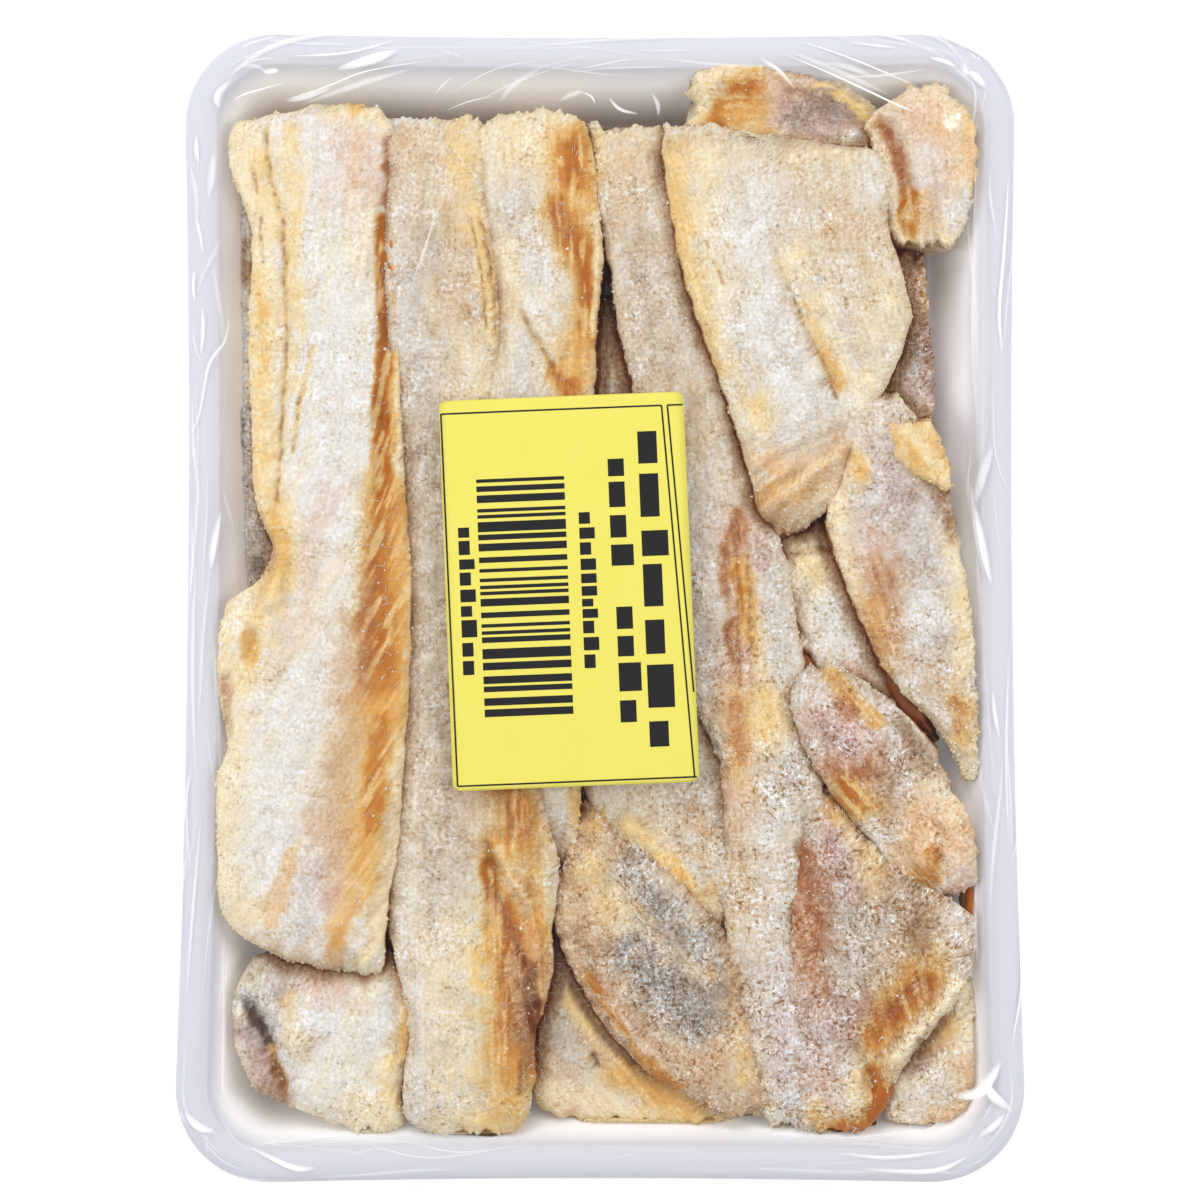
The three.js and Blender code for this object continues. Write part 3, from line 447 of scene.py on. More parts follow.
FISH["second_strip"] = dict(
    base="white", rim="ivory", grain=0.5, frost=1.15, lean=[(93, 0.35), (75, 0.1), (-100, -0.04)],
    tuck=(2.5, [(-80, 0), (-70, 1.5), (-50, 1.5), (-40, 0)]),
    marks=[
        ("tan", 0.4, 9, [(-30, 80), (-28, -40)]),
        ("ivory", 0.7, 6, [(-36, 88), (-26, 88)]),
        ("salt", 0.8, 1.6, [(-39, 93), (-34, 93)]),
        ("tan", 0.4, 2.5, [(-38, 89), (-35, 85)]),
        ("butter", 0.55, 3, [(-27, 92), (-26, 82), (-25, 72)]),
        ("butter", 0.7, 1.5, [(-24, 73), (-21.6, 62), (-20.3, 50)]),
        ("tan", 0.65, 3, [(-31, 60), (-28, 54)]),
        ("brown", 0.35, 1.5, [(-25, 54), (-24.5, 50)]),
        ("butter", 0.6, 1.0, [(-32.4, 61), (-31.8, 51)]),
        ("cream", 0.6, 3.5, [(-24.5, 50), (-22.5, 40)]),
        ("salt", 0.6, 4, [(-35, 62), (-34, 40)]),
        ("grey", 0.3, 4, [(-34, 70), (-35, 50), (-33, 20), (-31, -20), (-29, -52)]),
        ("cream", 0.55, 6, [(-25, -64), (-26, -80), (-25, -96)]),
        ("amber", 0.75, 2.8, [(-17, -36), (-14.5, -42), (-17, -46)]),
        ("rust", 0.5, 1.4, [(-18, -37), (-15, -43)]),
        ("honey", 0.8, 3, [(-18.5, -48), (-17.5, -58)]),
        ("amber", 0.75, 1.5, [(-20.5, -50), (-19.5, -56), (-18, -60)]),
        ("cream", 0.7, 1.6, [(-15, -50), (-14, -56)]),
        ("honey", 0.7, 2.2, [(-12.5, -46), (-12, -62)]),
        ("butter", 0.5, 3, [(-21, -62), (-22, -74)]),
        ("amber", 1.0, 3.6, [(-15.8, -64), (-15.2, -76), (-15.8, -87)]),
        ("rust", 1.0, 2.6, [(-14.8, -69), (-14.2, -83)]),
        ("brown", 0.75, 1.8, [(-13.6, -71), (-13.4, -82)]),
        ("ember", 0.9, 1.2, [(-12.3, -76), (-12.2, -80)]),
        ("honey", 0.65, 3, [(-17, -86), (-17.5, -97)]),
        ("brown", 0.4, 0.8, [(-14, -84), (-14.8, -92)]),
        ("rust", 0.7, 1.0, [(-20.6, -54), (-18.6, -60), (-16, -66), (-14.6, -70)]),
        ("cream", 0.6, 0.8, [(-19, -47), (-16.5, -53), (-13.5, -58)]),
        ("peach", 0.6, 1.2, [(-16, -52), (-14.5, -60), (-13, -66)]),
        ("butter", 0.6, 2, [(-29, -98), (-20, -99)]),
    ],
    relief=[
        (0.8, 1.2, [(-24, 71), (-21.4, 60), (-20.7, 49)]),
        (-0.5, 0.4, [(-24.6, 72), (-22.4, 62), (-21.7, 52)]),
        (-0.4, 0.4, [(-23, 74), (-20.7, 63), (-19.8, 51)]),
        (0.6, 0.8, [(-32.2, 61), (-31.9, 52)]),
        (-1.2, 0.9, [(-21.4, -50), (-20.4, -57), (-21.4, -63)]),
        (1.0, 2.4, [(-16, -37), (-15.6, -44), (-16.5, -54)]),
        (-1.0, 0.9, [(-13.8, -60), (-14.2, -68), (-13.4, -72)]),
        (-2.0, 2.0, [(-12.4, -77.5)]),
        (-0.6, 0.5, [(-14.3, -83), (-15, -93)]),
        (-0.8, 0.5, [(-21.4, -46), (-19.6, -54), (-17, -62), (-14, -69)]),
        (0.9, 0.9, [(-20, -46), (-17, -52), (-13, -57)]),
        (-0.5, 0.4, [(-17.5, -38), (-16.6, -46)]),
        (-0.7, 0.9, [(-29, -84), (-26, -90), (-22, -96)]),
    ],
)
FISH["fourth_strip"] = dict(
    base="white", rim="ivory", grain=[(-45, 1.0), (-10, 0.8), (15, 0.55), (90, 0.5)], frost=1.1,
    tuck=([(60, 0), (76, 1.2), (92, 1.6)], 2.5), reach=(0, 2),
    lean=[(90, -0.1), (40, -0.25), (-30, -0.05), (-99, -0.1)],
    marks=[
        ("cream", 0.6, 5, [(2, 88), (10, 87)]),
        ("butter", 0.5, 1.5, [(-0.4, 89), (0.6, 82)]),
        ("white", 0.7, 4, [(9, 70), (12, 55), (18, 38)]),
        ("tan", 0.45, 5, [(5, 80), (10, 52), (16, 30)]),
        ("grey", 0.3, 3, [(7, 66), (12, 44)]),
        ("tan", 0.3, 2.5, [(24, 30), (27, 20)]),
        ("white", 0.6, 4, [(17, 20), (18, 0), (21, -14)]),
        ("grey", 0.3, 2.5, [(20, -2), (21, -10)]),
        ("rose", 0.75, 4, [(26, 13), (27.5, -4), (27, -16)]),
        ("rust", 0.85, 1.5, [(26.2, 15), (25.4, 9)]),
        ("honey", 0.8, 1.4, [(26.8, 6), (28.3, -2), (28.8, -8)]),
        ("amber", 0.5, 0.7, [(26, 6), (27, -6)]),
        ("rust", 0.55, 0.8, [(23.6, 10), (23.8, 2)]),
        ("rust", 0.85, 1.1, [(24.6, -5), (25.2, -10), (26.2, -15)]),
        ("butter", 0.6, 1.6, [(30, -5), (30.6, -13)]),
        ("mauve", 0.35, 1.6, [(31, 11), (31.6, 6)]),
        ("white", 0.8, 2.5, [(33, 4), (34, -12)]),
        ("tan", 0.8, 3.4, [(26, -18), (26, -36)]),
        ("peach", 0.7, 2.6, [(25.6, -19), (26.2, -26), (26, -36)]),
        ("honey", 0.35, 1.6, [(25.6, -19), (26.2, -26), (26, -33)]),
        ("rust", 0.4, 1.4, [(25.4, -20), (26.6, -29)]),
        ("butter", 0.8, 3, [(31.5, -19), (32, -26)]),
        ("rose", 0.5, 2.5, [(25, -38), (26.5, -42)]),
        ("grey", 0.35, 2.5, [(36, -32), (37, -38)]),
        ("tan", 0.75, 5, [(26, -44), (26.5, -60), (29, -82)]),
        ("salt", 0.6, 3, [(31.5, -42), (31, -56), (28, -68)]),
        ("tan", 0.35, 2.5, [(27, -50), (29, -57)]),
        ("grey", 0.35, 2, [(29, -68), (30, -75)]),
        ("lilac", 0.8, 5, [(32, -72), (35, -84), (36, -93)]),
        ("mauve", 0.2, 4, [(34, -78), (36, -88)]),
        ("cream", 0.5, 2.5, [(27, -86), (31, -97)]),
    ],
    relief=[
        (-0.9, 0.5, [(25.7, 15), (26.3, 0), (25.8, -14)]),
        (-0.9, 0.5, [(28, 10), (28.8, -8), (28.4, -16)]),
        (-0.8, 0.5, [(23.8, 9), (24.4, -12)]),
        (-0.7, 0.7, [(25, -74), (28, -84), (32, -95)]),
    ],
)
FISH["lower_right_fillet"] = dict(
    base="lilac", rim="ivory", grain=1.1, frost=1.15, tuck=(0, 0.8),
    lean=[(-34, -0.4), (-70, -0.2), (-100, -0.5)],
    marks=[
        ("mauve", 0.35, 9, [(44, -52), (48, -76)]),
        ("tan", 0.7, 8, [(46, -48), (53, -66), (58, -74)]),
        ("brown", 0.3, 9, [(50, -58), (58, -72)]),
        ("white", 0.8, 3, [(40, -43), (38.5, -48)]),
        ("honey", 0.6, 2, [(41, -36.5), (45, -40.5)]),
        ("amber", 0.5, 1.0, [(43.5, -39), (47, -41)]),
        ("butter", 0.75, 2.0, [(46.5, -42.5), (51, -49.5), (50, -54)]),
        ("mauve", 0.85, 4, [(43, -48), (45, -57)]),
        ("rust", 0.95, 3.2, [(37.2, -50), (38.2, -57), (40, -63)]),
        ("rose", 0.4, 3.2, [(35.5, -58), (36, -66), (37, -74)]),
        ("rust", 0.75, 2.0, [(39, -60), (39.5, -67), (42, -74)]),
        ("grey", 0.6, 4, [(49, -60), (57, -62)]),
        ("grey", 0.75, 5, [(51, -65), (47, -71)]),
        ("salt", 0.4, 2, [(53, -62), (47, -67)]),
        ("tan", 0.5, 4, [(55, -64), (63, -60)]),
        ("brown", 0.6, 3, [(58, -58), (62, -66)]),
        ("ivory", 0.6, 2.5, [(66, -62), (64, -67)]),
        ("honey", 0.8, 3.4, [(60, -71), (55.5, -76), (52, -81)]),
        ("amber", 0.9, 2.2, [(61, -72), (54, -79), (51, -83)]),
        ("rust", 0.6, 1.6, [(60, -73), (54, -78)]),
        ("cream", 0.95, 1.7, [(67.5, -72.5), (62.5, -78.5), (58, -83), (55, -87)]),
        ("mauve", 0.5, 3, [(43, -76), (48, -76)]),
        ("mauve", 0.25, 3, [(46, -86), (48, -82)]),
        ("mauve", 0.2, 4, [(36, -80), (38, -87), (44, -82)]),
        ("rose", 0.5, 4, [(37, -90), (43, -93)]),
        ("cream", 0.85, 2.2, [(47.5, -90), (48, -95)]),
        ("honey", 0.7, 1.8, [(40, -97), (44, -99)]),
        ("amber", 0.85, 1.8, [(51.5, -89), (53, -95), (50, -98), (45, -99.5)]),
    ],
    relief=[
        (-1.6, 0.9, [(47.5, -84), (50, -88), (51.2, -92)]),
        (1.3, 1.7, [(67.5, -72.5), (62.5, -78.5), (58, -83), (55, -87)]),
        (-1.4, 1.6, [(61, -72), (55.5, -77), (53, -82)]),
        (-1.2, 0.9, [(36.5, -43), (36.8, -52), (34.8, -58)]),
        (-0.9, 1.5, [(39.5, -56), (40, -68), (43, -76)]),
        (1.0, 2.0, [(48, -91), (47, -96)]),
        (0.8, 3.0, [(44, -50)]),
    ],
)
FISH["third_strip"] = dict(
    base="ivory", rim="cream", frost=1.05, tuck=(2, 0),
    lean=[(95, -0.05), (40, 0.0), (-50, 0.1)],
    marks=[
        ("cream", 0.7, 6, [(-18, 90), (-8, 88)]),
        ("white", 0.7, 4, [(-16, 76), (-13, 62)]),
        ("cream", 0.7, 2.4, [(-18, 66), (-17, 57)]),
        ("salt", 0.6, 3, [(-11, 63), (-10, 54)]),
        ("butter", 0.6, 2.4, [(-6, 91), (-4, 89)]),
        ("honey", 0.7, 3.2, [(-6, 85), (-4.5, 76)]),
        ("amber", 0.85, 2.2, [(-5.2, 87), (-4.8, 80)]),
        ("amber", 0.85, 2.2, [(-8, 74.5), (-6, 71), (-4.5, 67)]),
        ("rust", 0.5, 1.6, [(-8, 74), (-6, 70)]),
        ("amber", 0.9, 1.8, [(-3, 67), (-2.6, 58), (-3, 49)]),
        ("honey", 0.8, 2.6, [(-4, 48), (-5.5, 43), (-6, 39.5)]),
        ("amber", 0.65, 1.5, [(-8, 43), (-5.5, 40)]),
        ("cream", 0.8, 0.7, [(-0.3, 72), (-0.6, 62), (-1.2, 50)]),
        ("white", 0.6, 4, [(-15.5, 46), (-14, 36)]),
        ("grey", 0.5, 2, [(-9, -42), (-7, -48)]),
        ("honey", 0.5, 1.5, [(-4, -36), (-4, -42)]),
    ],
    relief=[
        (-0.6, 0.45, [(-15.4, 55), (-12, 49.5), (-8.5, 43), (-5, 40)]),
        (0.7, 1.8, [(-14, 57), (-9, 47)]),
        (1.0, 1.8, [(-10.4, 93.3)]),
        (0.9, 1.8, [(-5, 90.5)]),
        (-0.9, 1.4, [(-5.5, 86), (-4.5, 80)]),
        (-0.9, 1.3, [(-2.8, 68), (-2.8, 52)]),
        (0.7, 0.5, [(-0.6, 72), (-0.8, 55)]),
    ],
)
FISH["centre_strip"] = dict(
    base="white", rim="ivory", grain=0.7, frost=1.1, tuck=(2, 2),
    lean=[(60, -0.3), (-63, -0.5)],
    marks=[
        ("tan", 0.6, 4, [(0, 58), (3, 45), (6, 38)]),
        ("brown", 0.4, 0.8, [(2.5, 55), (5, 44), (7, 38)]),
        ("ivory", 0.7, 4, [(8, -36), (12, -44)]),
        ("tan", 0.55, 3, [(17.5, -38), (19.5, -46), (22, -52)]),
        ("grey", 0.4, 2, [(21, -34), (22, -40)]),
        ("butter", 0.85, 1.8, [(6, -43), (11.5, -49), (16.5, -53), (20, -58)]),
        ("honey", 0.5, 1.2, [(13, -51), (18, -55)]),
    ],
    relief=[(0.9, 1.5, [(6, -43), (12, -49.5), (18, -55)])],
)
FISH["skin_leaf"] = dict(
    base="tan", rim="tan", grain=1.15, frost=1.0, lean=[(-37, -0.8), (-98, -0.9)],
    tuck=([(-76, 0), (-66, 2), (-44, 2.5)], 2.5),
    marks=[
        ("brown", 0.3, 12, [(6, -54), (16, -84)]),
        ("honey", 0.7, 1.6, [(-2, -37), (-1, -43)]),
        ("butter", 0.7, 3.5, [(-1.5, -50), (1, -56), (5, -61)]),
        ("grey", 0.95, 3.4, [(5, -51), (11, -56.5), (16, -61), (20, -67)]),
        ("slate", 0.35, 2.4, [(9, -56), (15, -61.5), (20, -67.5)]),
        ("cream", 0.7, 1.3, [(3, -57), (8, -63), (13, -67), (18.5, -70.5)]),
        ("grey", 0.95, 4, [(6, -67), (10, -72), (14, -77), (19, -82)]),
        ("slate", 0.65, 3.4, [(7, -67), (11, -72), (19, -79)]),
        ("slate", 0.45, 2, [(22, -73), (24, -80)]),
        ("tan", 0.8, 2.6, [(-4.6, -58), (-3, -67), (0.5, -75), (5, -81), (10, -86)]),
        ("rose", 0.5, 1.4, [(-1, -72), (4, -79), (9, -84)]),
        ("brown", 0.3, 1.2, [(-4, -62), (-1, -71)]),
        ("tan", 0.8, 3.5, [(17, -88), (25, -84)]),
        ("butter", 0.5, 2, [(26.5, -78), (27, -90)]),
        ("amber", 0.5, 0.7, [(-2.5, -71), (2, -78), (8, -86), (15, -92)]),
    ],
    relief=[(-0.6, 1.2, [(3, -57), (12, -66.5), (20, -72)]), (0.6, 2, [(-3, -60), (0, -72), (6, -81)])],
)
FISH["bottom_left_piece"] = dict(
    base="salt", rim="cream", grain=0.5, frost=1.0, lean=[(-65, 0.3), (-102, 0.4)],
    marks=[
        ("grey", 0.4, 3, [(-64, -70), (-62, -76)]),
        ("mauve", 0.8, 2.6, [(-65.5, -81), (-63.5, -87), (-62, -91)]),
        ("brown", 0.5, 1.5, [(-63.5, -92.5), (-60.5, -93)]),
        ("slate", 0.7, 1.8, [(-66, -77), (-62.6, -82.5)]),
        # painted shadow in the deep slit
        ("slit_shadow", 0.95, 0.9, [(-65.6, -77.6), (-63.6, -80.5), (-62.2, -83)]),
        ("amber", 0.6, 0.8, [(-61.6, -84), (-60.4, -88), (-59.8, -91)]),
        ("brown", 0.6, 0.7, [(-61.2, -86), (-59.9, -91.5)]),
        ("grey", 0.7, 1.5, [(-61.8, -68), (-59.5, -75)]),
        ("butter", 0.6, 1.4, [(-58.4, -75), (-57.8, -80.5)]),
        ("cream", 0.8, 1.8, [(-58, -82), (-56, -84)]),
        ("rose", 0.5, 3, [(-56, -71), (-48, -73)]),
        ("salt", 0.5, 4, [(-52, -82), (-46, -82)]),
        ("butter", 0.85, 2.0, [(-38, -69), (-35.5, -74), (-35.5, -80), (-37.5, -86)]),
        ("honey", 0.5, 1.2, [(-36, -73), (-36, -84)]),
        ("cream", 0.8, 3.5, [(-46, -95), (-40, -99)]),
        ("butter", 0.5, 2, [(-41, -90), (-38, -95)]),
    ],
    relief=[
        (-1.9, 1.3, [(-66, -76.5), (-63.6, -80.8), (-61.4, -85.5), (-59.8, -91)]),
        (1.0, 1.6, [(-37, -70), (-35.6, -77), (-37, -86)]),
        (-0.8, 1.0, [(-39.5, -72), (-39, -86)]),
        (0.9, 1.8, [(-57.5, -83)]),
    ],
)
FISH["top_tail"] = dict(
    across=True, base="tan", rim="ivory", grain=0.7, frost=1.0,
    lumpy=1.9, crumbly=1.0, raised=1.9,
    tuck=(2, [(17, 6), (20, 7.2), (24, 7.6), (29, 5.4), (33, 4), (38, 3), (46, 2.4), (54, 2.4)]),
    marks=[
        ("cream", 1.0, 3.2, [(18.5, 95), (19.5, 100), (24, 103), (29, 101.5)]),
        ("cream", 0.7, 1.6, [(19, 94), (22, 90), (27, 88)]),
        ("amber", 0.8, 2.2, [(22.5, 92.5), (26, 96.5), (29.5, 99)]),
        ("honey", 0.7, 2.2, [(25, 92), (30, 94)]),
        ("rose", 0.6, 2.0, [(33, 98.6), (35, 96)]),
        ("honey", 0.5, 2.0, [(30, 90), (33, 88)]),
        ("mauve", 0.9, 3.0, [(37.5, 93), (42, 94.5), (46, 92.5)]),
        ("slate", 0.3, 1.8, [(38, 92), (42, 96), (46, 93)]),
        ("brown", 0.2, 1.6, [(37, 97), (43, 96)]),
        ("white", 0.7, 2.0, [(49, 89), (46, 88.5)]),
        ("butter", 0.9, 0.8, [(42, 98.3), (46, 97.4), (49.5, 95.3), (52, 92.5), (53.4, 89)]),
    ],
    relief=[(0.8, 0.7, [(42, 98.3), (46, 97.4), (49.5, 95.3), (52, 92.5), (53.4, 89)]),
            (-1.2, 1.5, [(49, 92.5), (51, 91)]), (2.2, 3.5, [(20.5, 99), (25, 100.5)]),
            (1.2, 2.5, [(32, 98.5), (44, 97)])],
)
FISH["tucked_strip"] = dict(
    base="white", rim="ivory", grain=0.7, frost=1.1, tuck=(2, 2),
    lean=[(18, -0.4), (-27, -0.6)],
    marks=[
        ("cream", 0.7, 3.5, [(38, 12), (40, 5)]),
        ("butter", 0.35, 2, [(39, 7), (42, 3)]),
        ("ivory", 0.6, 3, [(38, 0), (38.5, -8)]),
        ("salt", 0.6, 3, [(44, -2), (48, -9)]),
        ("rose", 0.5, 2, [(48, -14), (52, -19)]),
        ("ember", 0.9, 1.0, [(38.6, -10.6), (39.6, -13)]),
    ],
    relief=[(-1.2, 0.7, [(33.5, 8), (38, 9), (43, 10)]), (-1.4, 0.8, [(37, -5), (40, -8), (40, -13)]),
            (-2.5, 1.2, [(38.8, -11), (39.6, -13)])],
)
FISH["bottom_corner_piece"] = dict(
    base="ivory", rim="cream", grain=0.8, frost=1.15, lumpy=1.2, tuck=(1.5, 0),
    lean=-0.8,
    marks=[
        ("cream", 0.8, 3, [(70, -72), (67.5, -79)]),
        ("mauve", 0.7, 2.0, [(63, -84), (60, -88)]),
        ("brown", 0.5, 1.2, [(61, -85), (58.5, -89)]),
        ("honey", 0.5, 2.2, [(65, -81), (63, -83)]),
        ("salt", 0.6, 3, [(60, -94), (65, -91)]),
        ("peach", 0.8, 2.4, [(68.5, -88), (69.5, -94)]),
        ("peach", 0.7, 2.2, [(67, -97), (63, -98)]),
    ],
)

JELLY_HALF_HEIGHT = 2.2
JELLY_RINGS = 16
JELLY_AROUND = 28
# Amber jelly, the first under all the fish and the rest in gaps: centre, height of its top, half-lengths
# along and across, its heading, and how clear it is
JELLY = [
    ((0.0, -1.0), 6.6, (86.0, 57.0), 90, 0.3),
    ((58.2, -19.4), 19.9, (7.0, 2.6), -55, 0.0),
    ((52.0, -7.5), 17.9, (6.0, 1.5), -62, 0.0),
    ((39.1, -12.0), 17.8, (2.2, 1.6), -60, 0.1),
    ((70.4, -57.5), 16.6, (5.2, 1.5), 88, 0.8),
    ((-38.9, -62.5), 14.0, (8.0, 2.0), 95, 0.4),
    ((52.2, -94.0), 18.4, (5.2, 2.2), 60, 0.6),
    ((48.5, -99.6), 14.2, (4.0, 1.8), 10, 0.8),
]

# The label, a turned rectangle on the film; its own axes run right (u) and up (v) from its centre
LABEL_SIZE = (46.2, 73.6)
LABEL_CENTRE = (-5.9, 1.4)
LABEL_TURN = math.radians(2.3)
LABEL_THICKNESS = 0.14
LABEL_CORNER = 1.0  # radius
LABEL_DROP = (0.25, 0.35)  # its sides and its ends lie this much lower than its middle
LABEL_LIFT = 0.5  # its middle lies this far above the film's highest place under it
LABEL_GRID = (97, 25)  # points along and across it
STROKE_POINTS = 9  # along each stroke of its print
INK_HEIGHT = 0.03
LINE = 0.33
# Plain ruled lines as (start, end), skewed a little against the paper's cut edge
LABEL_LINES = [
    ((-22.8, 34.3), (18.9, 34.3)),
    ((-22.8, 34.3), (-22.2, -35.9)),
    ((-22.2, -35.9), (22.6, -35.9)),
    ((18.9, 34.3), (22.2, -35.9)),
    ((20.0, 34.3), (22.9, 34.3)),
    ((20.0, 34.3), (22.7, -20.0)),
]
# A plain pattern of bars, drawn at random from a few widths and gaps
BARS = 24
BAR_WIDTHS = (0.7, 0.7, 1.1, 1.5, 2.0)
BAR_GAPS = (0.5, 0.7, 1.2)
BARS_ACROSS = (-16.6, 0.0)
BARS_ALONG = (21.6, -23.2)
BLOCK_LENGTH = 0.76  # of the room that a block has
BLOCK_HEIGHTS = (0.72, 0.72, 1.0)  # of its row's height, drawn at random
# Rows of plain blocks: (u, start v, end v, block height, how many)
BLOCK_ROWS = [
    (16.6, 29.5, -31.5, 5.0, 7),
    (10.4, 24.5, 3.0, 4.2, 4),
    (10.9, -3.5, -26.5, 4.2, 4),
    (3.9, 14.6, -15.6, 2.9, 11),
    (-18.9, 12.6, -16.0, 2.9, 9),
]

# Lights as (name, place, size, watts, lights surfaces or only glints), all aimed at the pack; and the camera
WORLD_LIGHT = 0.55
LIGHTS = [
    ("key", (-160, 600, 560), (460, 460), 2.9, True),
    ("right_panel", (520, 0, 480), (300, 460), 2.0, True),
    ("left_panel", (-520, -60, 480), (300, 460), 1.8, True),
    ("glint", (260, 420, 620), (28, 28), 0.09, False),
]
LIGHTS_AIM = (0, 0, 15)
FLOOR_HALF = 3000
SENSOR_WIDTH = 36.0
CAMERA_LENS = 85.0
CAMERA_ELEVATION = math.radians(86.0)
VIEW_WIDTH = 228.0  # what the picture's width spans at the height of the rim
CAMERA_AIM = (0.0, 0.0, 18.0)


# Numbers and colours

def linear(hex_colour):
    """An sRGB hex colour as linear red, green and blue."""
    srgb = np.array([int(hex_colour[i:i + 2], 16) for i in (0, 2, 4)]) / 255
    return np.where(srgb <= 0.04045, srgb / 12.92, ((srgb + 0.055) / 1.055) ** 2.4)


def rgba(hex_colour):
    """An sRGB hex colour as linear red, green and blue with an alpha of one."""
    return (*linear(hex_colour), 1.0)


LATTICE_SIZE = 256
LATTICE = RANDOM.uniform(-1, 1, (LATTICE_SIZE, LATTICE_SIZE))


def noise(u, v, seed=0):
    """A smooth random field from about -1 to 1: random values at whole numbers of u and v, eased between
    them. Two such lattices, each turned by its own angle, are added so that neither shows."""
    total = 0
    for turn in (0.5 + seed, 2.2 + 1.7 * seed):
        p = u * math.cos(turn) - v * math.sin(turn) + 31.7 * seed
        q = u * math.sin(turn) + v * math.cos(turn) + 17.9 * seed
        i = np.floor(p).astype(int)
        j = np.floor(q).astype(int)
        s = p - i
        t = q - j
        s = s * s * s * (s * (6 * s - 15) + 10)
        t = t * t * t * (t * (6 * t - 15) + 10)
        corner = [LATTICE[(i + a) % LATTICE_SIZE, (j + b) % LATTICE_SIZE] for a in (0, 1) for b in (0, 1)]
        before = corner[0] * (1 - t) + corner[1] * t
        after = corner[2] * (1 - t) + corner[3] * t
        total = total + before * (1 - s) + after * s
    return 0.72 * total


def layered(u, v, seed=0, layers=3):
    """Noise with finer and weaker noise on it, each layer turned against the last to hide the lattice."""
    total = np.zeros(np.broadcast(u, v).shape)
    for k in range(layers):
        total += noise(u, v, seed + 5 * k) * 0.55 ** k
        u, v = 1.62 * u + 1.18 * v, 1.62 * v - 1.18 * u
    return total


def between(amounts, places):
    """Amounts given as (place, amount), in straight lines between them and held past the last ones. A plain
    number is the amount everywhere."""
    pairs = [(0, amounts)] if np.isscalar(amounts) else sorted(amounts)
    return np.interp(places, *np.transpose(pairs))


def eased(values, reach):
    """Values averaged with their neighbours up to a reach on each side, with the ends held."""
    weights = np.hanning(2 * reach + 3)[1:-1]
    return np.convolve(np.pad(values, reach, mode="edge"), weights / weights.sum(), mode="valid")


def raised_to_neighbours(heights):
    """A map of heights with each inner cell raised to the highest of itself and the four cells beside it."""
    raised = heights.copy()
    raised[1:-1, 1:-1] = np.max([
        heights[1:-1, 1:-1], heights[:-2, 1:-1], heights[2:, 1:-1], heights[1:-1, :-2], heights[1:-1, 2:],
    ], axis=0)
    return raised


def distance_to(path, x, y):
    """Distance of points from a path of straight stretches, or from its only point."""
    path = np.asarray(path, float)
    stretches = max(1, len(path) - 1)
    nearest = np.full(np.shape(x), np.inf)
    for (x0, y0), (x1, y1) in zip(path[:stretches], path[-stretches:]):
        length = max((x1 - x0) ** 2 + (y1 - y0) ** 2, 1e-9)
        t = np.clip(((x - x0) * (x1 - x0) + (y - y0) * (y1 - y0)) / length, 0, 1)
        nearest = np.minimum(nearest, np.hypot(x - x0 - t * (x1 - x0), y - y0 - t * (y1 - y0)))
    return nearest


# Meshes

def grid_faces(rows, columns, wraps):
    """Quads between neighbouring rows and columns of a grid. Its last column joins the first if it wraps."""
    index = np.arange(rows * columns).reshape(rows, columns)
    after = np.roll(index, -1, axis=1)
    if not wraps:
        index, after = index[:, :-1], after[:, :-1]
    return np.stack([index[:-1], after[:-1], after[1:], index[1:]], axis=-1).reshape(-1, 4)


def closed_faces(rows, columns):
    """The faces of a tube of rings with a flat face over its first and its last ring."""
    first = np.arange(columns)[::-1].tolist()
    last = np.arange((rows - 1) * columns, rows * columns).tolist()
    return [*grid_faces(rows, columns, True).tolist(), first, last]


def copies_of(faces, size, count):
    """The faces of a shape that has this many points, for each of its copies in turn: each face is moved on
    by a copy's first point, for all the copies at once."""
    starts = size * np.arange(count)[:, None]
    copies = [(np.array(face) + starts).tolist() for face in faces]
    return list(itertools.chain.from_iterable(zip(*copies)))


def at_height(ring, height):
    """A ring of the plan at a height."""
    return np.column_stack([ring, np.full(len(ring), height)])


def add_piece(name, points, faces, material, stands_for=()):
    """A mesh piece in its place, riding on the pack, with the solids that it stands for."""
    mesh = bpy.data.meshes.new(name)
    mesh.from_pydata(np.reshape(points, (-1, 3)) * MM, [], faces)
    mesh.shade_smooth()
    mesh.materials.append(material)
    piece = bpy.data.objects.new(name, mesh)
    bpy.context.scene.collection.objects.link(piece)
    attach(piece, "root")
    if stands_for:
        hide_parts(*stands_for)
    return piece


def add_attribute(piece, name, values):
    """A value, or a vector of three, at each point of a piece."""
    kind, field = ("FLOAT", "value") if np.ndim(values) == 1 else ("FLOAT_VECTOR", "vector")
    layer = piece.data.attributes.new(name, kind, "POINT")
    layer.data.foreach_set(field, np.asarray(values, np.float32).ravel())


# Materials

def add_node(tree, kind, inputs=None, **settings):
    """A shader node with its settings. An input takes a value, or a link from a socket or a node."""
    node = tree.nodes.new("ShaderNode" + kind)
    for key, value in settings.items():
        setattr(node, key, value)
    for key, value in (inputs or {}).items():
        if isinstance(value, bpy.types.Node):
            value = next(socket for socket in value.outputs if socket.enabled)
        if isinstance(value, bpy.types.NodeSocket):
            tree.links.new(value, node.inputs[key])
        else:
            node.inputs[key].default_value = value
    return node


def new_material(name):
    """An empty node material, and what adds a node to it."""
    material = bpy.data.materials.new(name)
    material.use_nodes = True
    material.node_tree.nodes.clear()
    return material, functools.partial(add_node, material.node_tree)


def per_metre(size):
    """The scale of a pattern whose features are this many millimetres across."""
    return 1 / (size * MM)


